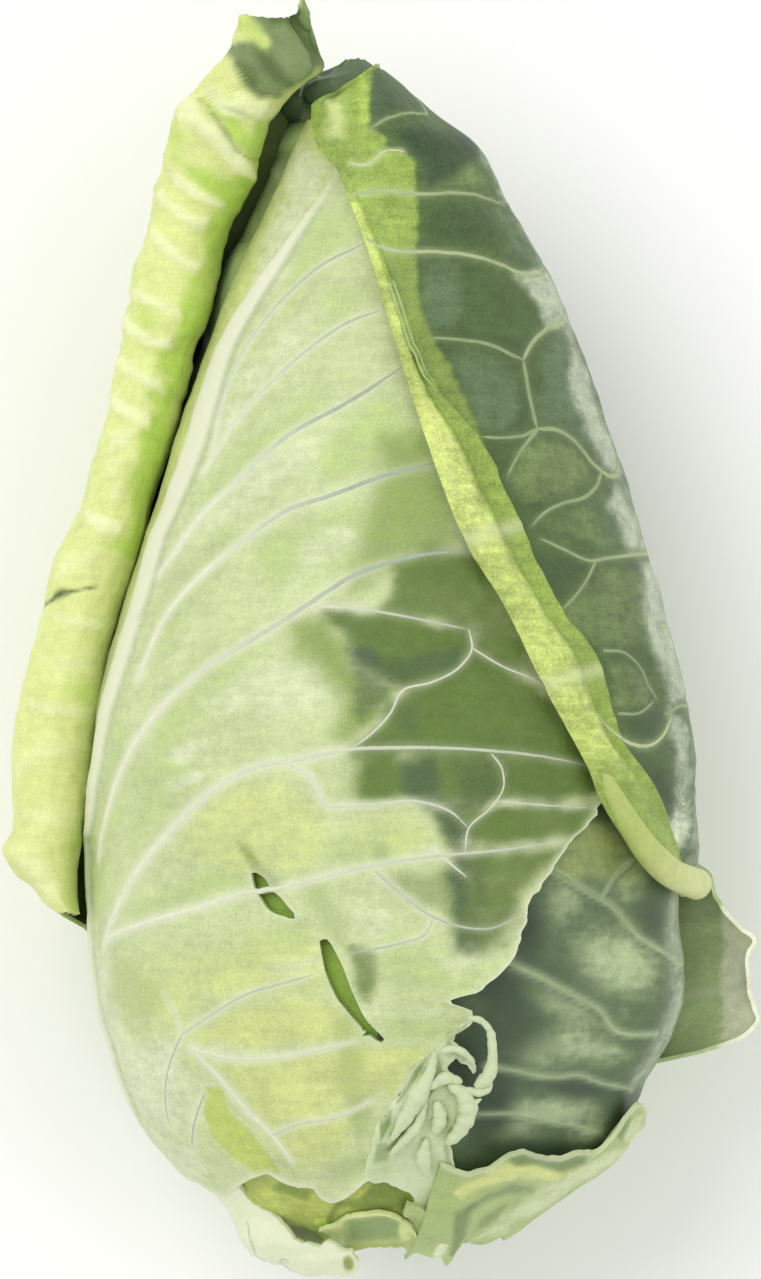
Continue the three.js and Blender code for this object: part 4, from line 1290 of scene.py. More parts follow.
RIGHT_OLIVE = [
    ([(43, 168), (39, 164), (30, 162), (26, 167), (27, 173), (32, 176), (40, 174)], 2, 0.75),
    ([(32, 159), (43, 162), (46, 153), (37, 154)], 2.5, 0.5),
    ([(36, 138), (45, 149), (53, 148), (54, 132), (43, 133)], 2.5, 0.6),
    ([(46, 130), (51, 129), (55, 123), (54, 120), (48, 120)], 1.6, 0.6),
    ([(8, 235), (18, 234), (20, 228), (8, 229)], 3, 0.5),
]
RIGHT_BLUE = [
    ([(8, 213), (15, 212), (16, 205), (15, 199), (10, 199), (7, 205)], 2.5, 0.95),
    ([(14, 193), (24, 193), (28, 184), (27, 177), (20, 177), (15, 184)], 3.5, 0.8),
    ([(36, 197), (44, 174), (37, 178), (32, 179), (32, 190)], 2.5, 0.85),
    ([(23, 224), (34, 211), (28, 213)], 2.5, 0.8),
    ([(46, 167), (54, 154), (45, 153), (44, 163)], 3, 0.6),
    ([(-3, 251), (3, 249), (8, 245), (3, 245), (-2, 243)], 2.5, 0.7),
]
# Painted sheen of the wax bloom, whitish where the leaf turns away from the eye.
RIGHT_EDGE_SHEEN = [
    ([(39, 200), (34, 199), (31, 205), (27, 210), (34, 212), (38, 206)], 1.6, 0.85),
    ([(38, 199), (49, 169), (46, 170), (42, 176), (39, 186)], 1.8, 1),
    ([(48, 167), (57, 153), (51, 152), (46, 162)], 1.8, 0.85),
    ([(53, 150), (57, 151), (60, 137), (65, 120), (59, 120), (53, 141)], 2, 0.9),
    ([(59, 119), (62, 118), (64, 100), (63, 90), (59, 90), (60, 104)], 1.6, 0.6),
    ([(20, 236), (26, 225), (24, 226), (21, 232)], 1.4, 0.7),
]
print("right leaf areas", sum(map(len, (RIGHT_LIME, RIGHT_DEEP, RIGHT_OLIVE, RIGHT_BLUE, RIGHT_EDGE_SHEEN))))

# %% [markdown]
# The areas count only on what is seen from above, so they fade out over the side, and the
# back takes its blue from how far round it lies. Below each vein runs a thin dark line,
# which is the groove that the vein casts into shade.

# %% Right leaf: marks, finish and sheet
lime = np.maximum(painted(right_base, RIGHT_LIME, 111, 0.4), on_rib)
over_top = 1 - ease(right_turns, 74, 114)
rib_lit_side = on_rib * (1 - ease(rib_place / rib_edge, 0.6, 1.02))
bare = off_rib * (1 - lime)
right.mark("lime", lime)
right.mark("olive", painted(right_base, RIGHT_OLIVE, 12, 1.5) * bare)
right.mark("deep", painted(right_base, RIGHT_DEEP, 13, 1.2) * bare)
right.mark("blue", np.maximum(painted(right_base, RIGHT_BLUE, 14, 1.8) * over_top,
                              ease(right_turns, 92, 110) * 0.55) * bare)
# The edge mark is painted sheen: over the side a fainter sheen of the bloom blends the areas.
bloom_sheen = ease(right_turns, 62, 84) * (1 - ease(right_turns, 92, 140))
bloom_sheen = bloom_sheen * (0.33 + 0.13 * cloudy(right_turns / 14, right_h / 14, 119))
bloom_sheen = bloom_sheen * (1 - ease(right_h, 215, 240))
right.mark("edge", np.maximum(painted(right_base, RIGHT_EDGE_SHEEN, 16, 1.2) * over_top, bloom_sheen * bare))
# The gold on the rib is a painted highlight on the lit left of its rounded crown, weaker at places
# along it.
rib_light = rib_lit_side * (1 - 0.45 * ease(right_h, 172, 205))
rib_light = rib_light * (0.6 + 0.4 * ease(right_h, 150, 172))
rib_light = rib_light * (0.92 + 0.18 * cloudy(right_h / 14, rib_place, 115))
rib_light = rib_light * (1 - ease(right_h, 222, 232)) * ease(right_h, 100, 112)
top_stripe = bell(right.x + 4.1 + 0.06 * (right_h - 240), 1.1) * ease(right_h, 238, 243)
right.mark("gold", np.maximum(rib_light, 0.35 * swelling))
halo = right_near.line(0.5, 0.3) * off_rib
right.mark("cream", np.maximum.reduce([
    halo * 0.4 * (0.4 + right_near.slate), joint * on_rib * 0.55, 0.45 * swelling]))
right.mark("bright", top_stripe)
# The slate mark is painted shade: along the fold's edge, as the thin shadow that the fold casts on the
# blade beyond it, in the flap's crease and below the veins.
below_fold_end = 1 - ease(right_h, 212, 220)
fold_shade = bell(rib_place - 0.985, 0.03) * ease(right_h, 96, 104) * below_fold_end
beyond = bell(right_turns - rib_to[:, None], 1.6) * off_rib * ease(right_h, 104, 112)
beneath = bell(right_near.distance - 0.6 * right_near.width - 0.35, 0.5) * bare * 0.55
right.mark("slate", np.maximum.reduce([
    fold_shade * 0.4, beyond * 0.4 * below_fold_end, crease * 0.5, beneath]))
dark_finish = leaf_finish("right_leaf_green", (0.083, 0.142, 0.04), [
    ("olive", (0.235, 0.32, 0.115)), ("blue", (0.14, 0.215, 0.105)),
    ("deep", (0.045, 0.082, 0.034)), ("edge", (0.64, 0.72, 0.53)),
    ("lime", (0.275, 0.385, 0.075), 0.45), ("gold", (0.61, 0.70, 0.21)),
    ("bright", (0.37, 0.52, 0.09))],
    streak_turn=-20.0, drift=0.42, cream=(0.62, 0.68, 0.36), slate=(0.06, 0.10, 0.035))
right_piece = sheet("right_leaf_sheet", right, 1.0, dark_finish)
finished(right_piece, "dark_leaf", "right_leaf")
dark_vein_finish = cream_finish("vein_pale_green", (0.25, 0.34, 0.16), (0.52, 0.60, 0.33))
right_ribs = vein_ribs("right_leaf_veins", right, right_veins, dark_vein_finish, proud=0.2)
finished(right_ribs, "dark_leaf")

# %% [markdown]
# At its foot the rib turns outwards and ends in a blunt cut, pale and a little flared. It
# is swept along its own short path, because the rows of the leaf run past it.

# %% Right leaf: the stem's cut end
STEM_PATH = [  # x, height, how far its middle is above the skin, girth
    (41.6, 113, -0.9, 0.9), (44.8, 107.3, 0.2, 1.4), (47.9, 100.8, 0.6, 2.1),
    (51.4, 94.7, 0.9, 2.65),
    (55.4, 89.2, 1.3, 2.95), (60.3, 84.8, 1.7, 3.15), (65.2, 82.7, 2.0, 3.3),
]
stem_route = smooth_path(STEM_PATH, 0.5)
stem_spots = on_head(turn_at(stem_route[:, 0], stem_route[:, 1], -stem_route[:, 2]),
                     stem_route[:, 1], -stem_route[:, 2])
stem_share = np.linspace(0, 1, len(stem_route))
stem_girth = stem_route[:, 3] * (1 + 0.04 * wander(stem_route[:, 1] / 3, 0, 118))
stem_end_finish = cream_finish("stem_yellow_green", (0.43, 0.51, 0.15), (0.62, 0.66, 0.31))
stem_path = {"spots": stem_spots, "girth": stem_girth, "slate": ease(stem_share, 0.55, 1)}
stem_end = swept("right_leaf_stem", [stem_path], stem_end_finish, 20)
finished(stem_end, "dark_leaf")

# %% [markdown]
# The left curl leaf hugs the back of the head on the left, then springs away from it and
# rolls its crinkled edge over. Its section is one smooth curve at each height: along the
# back, out to the side and round the roll. Wrinkles run across the roll like the folds of
# a sleeve, each with a painted highlight on its back.

# %% Left curl leaf: section and grid
CURL_OUTER_X = [
    (12, -38), (60, -56), (72, -62), (76.5, -68.3), (79, -71.5), (81.5, -73), (83, -74.5),
    (84.5, -77), (88.5, -79.4), (90, -79.8), (92, -78.6), (95, -77.8), (111, -78), (131, -74),
    (150, -69), (163, -63.8), (174, -60.8), (184, -57.7), (191, -56.7), (198, -54.5), (211, -52.5),
    (229, -48), (237, -46), (241, -45), (246, -42), (251, -37.5), (256, -33), (258, -32),
    (266, -31),
]
CURL_EDGE_X = [
    (12, -36), (60, -55), (73, -62), (77, -64.2), (85, -64.6), (98, -62.4), (111, -61.2),
    (121, -59.2),
    (132, -57.8), (142, -54.7), (152.7, -51), (163, -48.6), (174, -44.8), (184, -42),
    (194.7, -39.4),
    (203, -36.4), (217, -33.4), (228, -28.8), (239, -24.6),
    (244, -23.3), (249, -18), (254, -13), (259, -14.5), (266, -17),
]
CURL_RISE = [(77, 9), (230, 10), (250, 7), (266, 3)]
CURL_LIFT = [(225, 0), (252, 9), (266, 10)]
CURL_FIRST = [(12, 0.15), (150, 0.084), (213, 0.12), (240, 0.4), (266, 0.56)]
CURL_LAST = [(12, 0.395), (45, 0.44), (58, 1), (250, 1), (266, 0.917)]
CURL_HUGS = (150, 165, 180, 195, 210, 224)  # turns where it lies on the back
ROLL_ANGLES = (180, 135, 90, 45, 0, -40)  # round the roll, from outside to its edge
CURL_SPANS = len(CURL_HUGS) + len(ROLL_ANGLES)


def curl_stations(height):
    """The places that the section goes through at each height, as an array (rows, 13, 3)."""
    height = np.atleast_1d(height)
    on_skin = np.minimum(height, TIP_HEIGHT)
    stations = [on_head(turn, on_skin, OUTERMOST) for turn in CURL_HUGS]
    outer_x = through(CURL_OUTER_X, height)
    edge_x = through(CURL_EDGE_X, height)
    middle_x = (outer_x + edge_x) / 2
    half = (edge_x - outer_x) / 2
    rise = through(CURL_RISE, height)
    middle_z = AXIS_Z + through(CURL_LIFT, height)
    bulge = 0.1 * (skin_radius(on_skin) - OUTERMOST)
    leaving = stations[-1]
    stations.append(np.stack([(leaving[:, 0] + outer_x) / 2 - bulge, height,
                              (leaving[:, 2] + middle_z) / 2 - bulge / 2], axis=-1))
    for angle in ROLL_ANGLES:
        turned = math.radians(angle)
        stations.append(np.stack([middle_x + half * math.cos(turned), height,
                                  middle_z + rise * math.sin(turned)], axis=-1))
    stations = np.stack(stations, axis=1)
    stations[..., 1] = height[:, None]
    return stations


def curl_points(height, place):
    """Points on the section at each height, for places from 0 to 1, as a centripetal curve."""
    stations = curl_stations(height)
    first = 2 * stations[:, :1] - stations[:, 1:2]
    last = 2 * stations[:, -1:] - stations[:, -2:-1]
    padded = np.concatenate((first, stations, last), axis=1)
    span = np.clip(np.floor(place * CURL_SPANS).astype(int), 0, CURL_SPANS - 1)
    t = (place * CURL_SPANS - span)[..., None]
    row = np.arange(len(stations))[:, None]
    p = [padded[row, span + k] for k in range(4)]
    ways = [p[k + 1] - p[k] for k in range(3)]
    gap = [np.sqrt(np.maximum(np.linalg.norm(way, axis=-1, keepdims=True), 1e-4)) for way in ways]
    start = (ways[0] / gap[0] - (p[2] - p[0]) / (gap[0] + gap[1]) + ways[1] / gap[1]) * gap[1]
    end = (ways[1] / gap[1] - (p[3] - p[1]) / (gap[1] + gap[2]) + ways[2] / gap[2]) * gap[1]
    return (p[1] * (1 + 2 * t) * (1 - t) ** 2 + p[2] * t * t * (3 - 2 * t)
            + start * t * (1 - t) ** 2 - end * t * t * (1 - t))


curl_rows = np.linspace(12, 266, 380)
curl_share = np.concatenate((np.linspace(0, 0.5, 20)[:-1], np.linspace(0.5, 1, 96)))
curl_from = through(CURL_FIRST, curl_rows)
curl_to = through(CURL_LAST, curl_rows)
curl_place = curl_from[:, None] + (curl_to - curl_from)[:, None] * curl_share
curl_base = curl_points(curl_rows, curl_place)
# Its end is ragged, and a small hook stands up at the right of it.
ragged = 0.7 * cloudy(curl_share * 11, 0, 121) - 1.3
hook = 3.0 * bell(curl_share - 0.88, 0.022)
curl_base[..., 1] += ease(curl_rows, 252, 266)[:, None] * (ragged + hook)
curl = Leaf(curl_rows, curl_place, curl_base)
print("curl leaf grid", curl_base.shape[:2])

# %% [markdown]
# Each fold across the roll has a painted highlight on its back and a green valley beside it.
# Noise alone gives folds of one kind, so the large ones are drawn one by one, and noise adds
# the small ones. The tip is grey-green, with painted shade in the hollows where it is crushed
# together.

# %% Left curl leaf: where its folds and greens lie
CURL_GREEN = [
    ([(-30, 265), (-27, 265), (-25, 261), (-24, 257), (-26, 256.5), (-31, 262)], 1.2, 0.55),
    ([(-26, 243), (-24, 240), (-28, 226), (-36, 208), (-36, 203), (-41, 194), (-44, 185),
      (-47, 168), (-50, 162), (-52, 150), (-54, 150), (-60, 154), (-54, 156), (-53, 160),
      (-54, 168), (-51, 172), (-51, 178), (-48, 182), (-50, 186), (-44, 188), (-48, 191),
      (-48, 194), (-44, 196), (-42, 210), (-39, 212), (-38, 219), (-36, 223), (-33, 225),
      (-40, 230), (-42, 232), (-43, 235), (-36, 231), (-32, 230), (-28, 233), (-32, 240),
      (-32, 243), (-28, 240)], 2, 0.9),
    ([(-39, 247), (-36, 248), (-30, 241), (-29, 237), (-32, 238), (-34, 242),
      (-37, 244)], 1.6, 0.7),
    ([(-32, 250), (-30, 249), (-28, 244), (-26, 243), (-29, 243), (-33, 249)], 1.6, 0.6),
    ([(-44, 244), (-42, 239), (-43, 234), (-45, 233), (-46, 236), (-46, 240)], 1.6, 0.6),
    ([(-53, 205), (-50, 204), (-47, 200), (-50, 199)], 2, 0.6),
    ([(-50, 220), (-46, 220), (-38, 216), (-41, 215)], 2, 0.4),
    ([(-58, 128), (-58, 124), (-62, 120), (-68, 123)], 2.5, 0.5),
    ([(-63, 100), (-62, 90), (-66, 87), (-68, 90)], 2.5, 0.7),
    ([(-65, 86), (-64, 79), (-66, 78), (-67, 82)], 2, 0.55),
]
CURL_LIT_FOLDS = [
    ([(-42.5, 247), (-40, 247), (-38, 243.5), (-34, 240.5), (-31.5, 236.5), (-28, 233), (-28, 231),
      (-31, 232), (-36, 237.5), (-42.5, 243)], 1.1, 0.95),
    ([(-38, 249.5), (-36, 250), (-33.5, 247), (-23.5, 243.5), (-27, 242.5), (-34, 244),
      (-37, 247)], 1.1, 0.8),
    ([(-32, 249.5), (-22.5, 245), (-24.5, 244), (-29, 245.5), (-31.5, 247.5)], 1, 0.7),
    ([(-45.5, 232.5), (-33.5, 225), (-36.5, 224.5), (-40, 226.5), (-43.5, 229)], 0.9, 0.95),
    ([(-47, 228.5), (-44, 225), (-41, 223), (-37, 222), (-38, 220), (-41, 220.5), (-44.5, 223),
      (-47, 226)], 1.1, 0.85),
    ([(-49, 220.5), (-42.5, 214.5), (-38.5, 212.5), (-39.5, 211), (-43, 212.5), (-47, 215.5),
      (-49, 218)], 1.1, 0.8),
    ([(-53.5, 207.5), (-49.5, 206.5), (-44, 203.5), (-43, 201.5), (-52, 205.5)], 1.3, 0.75),
    ([(-54, 202.5), (-51.5, 199.5), (-48.5, 197), (-45, 197), (-45, 195), (-49.5, 195.5),
      (-52.5, 197.5), (-54, 200)], 1.1, 0.95),
    ([(-56, 193.5), (-47, 187.5), (-46, 185.5), (-50, 187), (-56.5, 191.5)], 1.3, 0.75),
    ([(-57, 185.5), (-49.5, 180), (-49.5, 178), (-54, 180.5), (-57.5, 183.5)], 1.3, 0.8),
    ([(-58, 177), (-52, 178), (-54, 175), (-58, 174)], 1.4, 0.6),
    ([(-59, 172), (-56, 172), (-56, 168), (-58, 168)], 1.4, 0.5),
    ([(-57.5, 166.5), (-55, 167.5), (-55.5, 163), (-57.5, 163.5)], 1, 0.5),
    ([(-63, 161.5), (-55, 158), (-55.5, 156), (-60, 156.5), (-63, 159)], 1.1, 0.9),
    ([(-60, 152), (-62, 150), (-68, 147), (-68, 150), (-65, 152)], 2, 0.55),
    ([(-71, 140), (-60.5, 138), (-55.5, 138.5), (-56.5, 136.5), (-64, 136),
      (-69.5, 137.5)], 1.1, 0.55),
    ([(-72, 130), (-64, 132), (-60, 130), (-61, 127), (-68, 126)], 2.5, 0.35),
    ([(-75, 121.5), (-60.5, 119.5), (-63, 117.5), (-69.5, 118), (-74, 119.5)], 1.1, 0.5),
    ([(-63, 112), (-64, 110), (-72, 109), (-77, 105), (-78, 108), (-72, 113)], 2, 0.35),
    ([(-78, 98), (-70, 100), (-64, 98), (-68, 94), (-75, 94)], 3, 0.35),
    ([(-80, 90), (-76, 91), (-70, 86), (-67, 81), (-70, 78)], 3, 0.4),
]
CURL_TIP = [
    ([(-10.5, 254.5), (-17, 251.5), (-22, 247.5), (-26, 249), (-29, 251.5), (-32.5, 256.5),
      (-33, 258.5), (-27, 259.5), (-25, 256.5), (-24.5, 258.5), (-29, 266.5), (-17.5, 266.5)], 1.7, 1),
]
CURL_CREASE_SHADE = [
    ([(-24.5, 265), (-18, 265.5), (-17, 261), (-18.5, 262.5), (-21, 263.5), (-23.5, 263)], 1.2, 1),
    ([(-27, 257.5), (-24, 256.5), (-19, 249.5), (-23, 250), (-26, 254)], 1.4, 0.9),
    ([(-18, 264.5), (-12, 256), (-14.5, 253.5), (-17, 258)], 1.4, 0.8),
    ([(-31, 254.5), (-28.5, 253.5), (-26, 249.5), (-22, 247.5), (-26, 247),
      (-29.5, 250)], 1.2, 0.9),
    ([(-39.5, 247.5), (-38, 247), (-33, 241), (-31, 237), (-28.5, 235), (-26.5, 234.5),
      (-29, 234.5), (-31.5, 236)], 0.6, 0.6),
    ([(-38, 250.5), (-33.5, 246), (-29.5, 244.5), (-25.5, 242), (-34, 245)], 0.6, 0.5),
]
print("curl leaf areas", sum(map(len, (CURL_GREEN, CURL_LIT_FOLDS, CURL_TIP, CURL_CREASE_SHADE))))

# %% [markdown]
# The same areas that colour the folds raise them, a little more softly, and seeded pleats
# run between them. On its outside the leaf is smooth, with side veins that fade out.

# %% Left curl leaf: relief
curl_h = curl_rows[:, None]
on_the_roll = ease(curl_place, 0.5, 0.6)
lit_folds = painted(curl_base, CURL_LIT_FOLDS, 15, 0.5) * on_the_roll
SOFTER = 1.7  # the folds rise more softly than their colour changes
soft_folds = [(outline, SOFTER * soft, much) for outline, soft, much in CURL_LIT_FOLDS]
raised = painted(curl_base, soft_folds, 15, 0.5)
crease_shade = painted(curl_base, CURL_CREASE_SHADE, 16, 0.4) * on_the_roll
pleat_slant = curl_h + 26 * (curl_place - 0.75)
pleats = cloudy(pleat_slant / 5.2, curl_place * 5, 131)
fine_pleats = cloudy(pleat_slant / 1.9, curl_place * 12, 135)
gathered = 0.35 + 0.65 * ease(curl_h, 150, 190)
lumpy = on_the_roll * gathered * (0.7 * pleats + 0.22 * fine_pleats)
scallops = 0.9 * gathered * cloudy(curl_h / 10, curl_place * 1.5, 137)
edge_frill = ease(curl_place, 0.9, 1) * 0.7 * wander(curl_h / 4.4, 0, 139)
tip_folds = ease(curl_h, 246, 254) * 0.7 * np.sin(curl_place * 48 + 2 * wander(curl_h / 8, 0, 140))
# On its outside, side veins run from the back up to the roll and fade there.
VEINS_APART = 22.0
vein_run = curl_h - 55 * (curl_place - 0.3) + 3 * wander(curl_h / 30, curl_place * 5, 148)
off_vein = np.abs((vein_run / VEINS_APART) % 1 - 0.5) * VEINS_APART
outside = ease(curl_place, 0.12, 0.2) * (1 - ease(curl_place, 0.52, 0.7)) * ease(curl_h, 60, 80)
side_vein = bell(off_vein, 1.0) * outside
curl.raise_by(0.5 * side_vein + 0.5 * outside * np.clip(off_vein / 7, 0, 1)
              + 1.2 * raised * on_the_roll * gathered - 0.8 * crease_shade
              + lumpy + scallops + edge_frill + tip_folds
              + 0.2 * cloudy(curl_place * 30, curl_h / 5, 141))

# %% [markdown]
# The outside of the leaf is a fuller green than the roll. Halfway up it has a small scar.
# Its foot is cut off along a curve, so that it springs free from the head where it should.

# %% Left curl leaf: colour marks and sheet
inner_green = painted(curl_base, CURL_GREEN, 17, 0.9) * on_the_roll
curl.mark("tip", painted(curl_base, CURL_TIP, 18, 0.8))
strokes = 0.3 * cloudy(pleat_slant / 3.1, curl_place * 5, 147) * on_the_roll
strokes = strokes * ease(curl_h, 150, 185)
strokes = strokes + 0.25 * cloudy(curl_place * 9, curl_h / 9, 143)
curl.mark("fresh", np.clip(inner_green + strokes, 0, 1) * (1 - 0.85 * lit_folds))
# Painted shade darkens the roll towards its inner edge and in its creases.
shaded = ease(curl_place, 0.9, 0.985) * (0.45 + 0.4 * ease(curl_h, 160, 190))
curl.mark("shade", np.maximum(shaded * ease(curl_h, 120, 150), 0.9 * crease_shade))
# The pale mark is painted highlight on the backs of the folds, with seeded pale streaks; the cream mark
# holds a little more of it.
curl.mark("pale", np.clip(0.95 * lit_folds + 0.2 * cloudy(pleat_slant / 4, curl_place * 4, 145)
                          * (1 - inner_green), 0, 1))
curl.mark("cream", np.maximum(lit_folds * 0.3, side_vein * 0.55))
curl.mark("body", 1 - ease(curl_place, 0.3, 0.6))
FLAW = [(-72, 141, 0.4), (-70, 142, 0.4), (-68, 143.5, 1.0), (-65.5, 144, 0.45), (-60.5, 145, 0.3)]
flaw_near = np.full(curl.x.shape, FAR)
for x, y, half in smooth_path(FLAW, 0.5):
    flaw_near = np.minimum(flaw_near, np.hypot(curl.x - x, curl.y - y) / half)
flaw = bell(flaw_near, 1) * (curl_place > 0.6)
# Slate marks the scar, and painted shade in the crushed hollows at the tip.
curl.mark("slate", np.maximum(flaw, 0.85 * crease_shade * (curl.y > 247)))
lime_finish = leaf_finish("curl_leaf_lime", (0.67, 0.74, 0.28), [
    ("body", (0.30, 0.42, 0.13), 0.4), ("fresh", (0.46, 0.64, 0.12)),
    ("pale", (0.77, 0.84, 0.42)), ("tip", (0.19, 0.26, 0.10)),
    ("shade", (0.13, 0.21, 0.055))],
    streak_turn=-15.0, drift=0.15, cream=(0.84, 0.86, 0.60), slate=(0.09, 0.13, 0.04),
    inside=(0.16, 0.24, 0.085))
FOOT_MARGIN = [(0.385, 10), (0.43, 48), (0.5, 69), (0.56, 75.6), (0.62, 76.8), (1, 76.4)]
foot_cut = curl_h - through(FOOT_MARGIN, curl_place) - 0.5 * cloudy(curl_place * 16, 0, 146)
curl_piece = sheet("left_curl_sheet", curl, 0.95, lime_finish, np.minimum(foot_cut, FAR_OFF))
finished(curl_piece, "lime_leaf", "left_curl_leaf")

# %% [markdown]
# Under the front leaf lies the tip leaf, which shows in the dark gap between the front leaf
# and the curl leaf, and over the point. Two layers down, it is a plain wrap with soft waves.

# %% Tip leaf
TIP_LEFT = [(47, -100), (104, -128), (213, -150), (243, -152), (256.3, -176)]
TIP_RIGHT = [(47, 1), (60, 3), (88, 8), (104, 10), (213, 40), (240, 80), (256.3, 178)]


def wrap(rows, left, right, columns, depth):
    """A leaf on the head between two sides, each a table of (height, turn) or a turn a row."""
    share = np.linspace(0, 1, columns)
    left = through(left, rows) if isinstance(left, list) else left
    right = through(right, rows) if isinstance(right, list) else right
    turns = left[:, None] + (right - left)[:, None] * share
    depths = depth(turns, rows[:, None]) if callable(depth) else depth
    return Leaf(rows, turns, on_head(turns, rows[:, None], depths))


tip_rows = np.linspace(47, 255.6, 200)
# How wide it shows beside the front leaf, before the curl leaf's shade.
STRIP = [
    (150, 0.2), (163, 0.6), (184, 0.9), (196, 1), (205, 2.4), (216, 3.3), (227, 3.6), (237, 4.2),
    (243, 6),
]


def tip_depth(turn, height):
    """Under the front leaf it lies close, and past that leaf's side it swells out."""
    shallow = 2 * WRAP_STEP - 4.2 * ease(height, 240, 248)
    past = np.interp(height, front_rows, front_left) - turn
    reach = axis_x(height) - through(FRONT_LEFT, height) + through(STRIP, height) + 1.3
    bulge = np.clip(reach - (skin_radius(height) - shallow), 0, 6)
    bulge = bulge * ease(past, 0.5, 14) * (1 - ease(past, 45, 80))
    bulge = bulge * (1 - ease(-turn, 108, 130) * ease(height, 222, 236))
    return shallow - bulge * ease(height, 160, 172) * (1 - ease(height, 250, 255))


tip = wrap(tip_rows, TIP_LEFT, TIP_RIGHT, 110, tip_depth)
TIP_VEINS = [
    ([(-61, 100), (-80, 140), (-100, 170)], 1.2, 0.6),
    ([(-60, 150), (-82, 185), (-110, 205)], 1.2, 0.6),
    ([(-52, 200), (-80, 225), (-110, 235)], 1.0, 0.5),
]
tip_near = Near(tip, TIP_VEINS)
POINT_RIM = [
    (-24, 247), (-14, 252.4), (-11.5, 253.4), (-8.5, 254.4), (-6.3, 256), (-4.4, 254.8), (0, 253),
    (6, 252),
]
tip_cut = through(POINT_RIM, tip.x) + 0.2 * wander(tip.x / 1.2, 0, 158) - tip.y
tip_cut = tip_cut + 6 * ease(np.abs(tip.across), 72, 100)
# What lies past the front leaf's side and past the flap over the point stands up a little.
past_front = through(FRONT_LEFT, tip.y) - tip.x
past_flap = through(RIB_LEFT, tip.y) - tip.x
seen_point = 3.2 * ease(past_flap, 0.4, 2.4) * ease(tip.y, 243, 247.5)
seen_point = seen_point * (1 - ease(tip.y, 248.5, 253))
tip.raise_by(0.35 * tip_near.line(0, 1.1) + 0.3 * tip_near.swell(8)
             + 0.35 * tip.clouds(9, 12, 151) + 0.12 * tip.clouds(3, 3, 153)
             + seen_point)
strip = through(STRIP, tip.y)
# The deep mark is the curl leaf's painted shadow beside the strip; it also darkens the strip higher up
# and the leaf towards the point.
curl_shadow = ease(past_front, strip - 1.9, strip - 0.4) * (1 - ease(tip.y, 236, 244))
tip.mark("deep", np.clip(curl_shadow + 0.55 * ease(tip.y, 222, 240) * ease(past_front, 0.3, 2)
                         + ease(tip.y, 240, 247), 0, 1))
tip.mark("fresh", 0.5 + 0.4 * tip.clouds(6, 8, 155))
tip.mark("young", 1 - ease(tip.y, 112, 135))
tip.mark("cream", 0.3 * tip_near.line(0, 1.1))
tip_finish = leaf_finish("inner_leaf_green", (0.38, 0.48, 0.19), [
    ("fresh", (0.30, 0.42, 0.13), 0.4), ("young", (0.27, 0.42, 0.06)),
    ("deep", (0.085, 0.14, 0.065))], drift=0.22)
tip_sheet = sheet("tip_leaf_sheet", tip, 0.9, tip_finish, np.minimum(tip_cut, FAR_OFF))
finished(tip_sheet, "dark_leaf", "tip_leaf")

# %% [markdown]
# The lower right leaf is dark blue-green, with painted highlights where it bulges and a
# painted sheen where it turns away at its side. The front leaf's torn side and the right
# leaf's stem lie over it.

# %% Lower right leaf
LOW_LEFT = [(12, 26), (20, 19), (31, 6), (47, -2), (88, 14), (120, 30)]
LOW_RIGHT = [(12, 105), (47, 112), (88, 108), (120, 100)]


def low_depth(turn, height):
    beside_it = ease(turn, 54, 70)
    free = ease(height, 40, 52) * (1 - ease(height, 62, 78))
    return 2 * WRAP_STEP - beside_it * (WRAP_STEP + 2.4 * free)


low_rows = np.linspace(12, 120, 132)
low = wrap(low_rows, LOW_LEFT, LOW_RIGHT, 118, low_depth)
LOW_VEINS = [
    ([(33, 86.6), (42.2, 81.3), (48.7, 76.9), (54.2, 72.2), (58.6, 68),
      (62.2, 64.5)], 1.1, 1.3, 0, 0.4),
    ([(22, 68.5), (26.2, 66.4), (33.2, 63), (40.3, 59), (45.8, 55.4), (51.4, 52.5), (57, 51.2)],
     1.5, 1.1, 0, 0.4),
    ([(21, 45.2), (25.8, 44.3), (31.3, 43), (35.9, 42.6), (40.3, 43), (45.8, 41.2), (51.9, 39.3)],
     1.0, 0.8, 0, 0.3),
    ([(17.6, 34.9), (24.8, 34.9), (33.2, 33.4), (40.3, 32.1), (45.8, 29.4)], 0.9, 0.6, 0, 0.3),
    ([(45.1, 79.5), (47.2, 83.4), (52, 87.6)], 0.8, 0.6, 0, 0.2),
]
LOW_BACK_VEINS = [
    ([(76, 64.5), (88, 66), (98, 72), (108, 70)], 1.2, 0.6),
    ([(74, 51.2), (86, 50), (98, 44), (110, 46)], 1.1, 0.6),
    ([(84, 66), (90, 80), (100, 90), (107, 94)], 1.0, 0.5),
]


def low_seen(veins):
    """The lower right leaf's depth changes along it, so each place has its own."""
    found = []
    for places, *rest in veins:
        turned = []
        for x, height in places:
            turn = float(turn_at(x, height, 2 * WRAP_STEP))
            turn = float(turn_at(x, height, float(low_depth(turn, height))))
            turned.append((turn, height))
        found.append((turned, *rest))
    return found


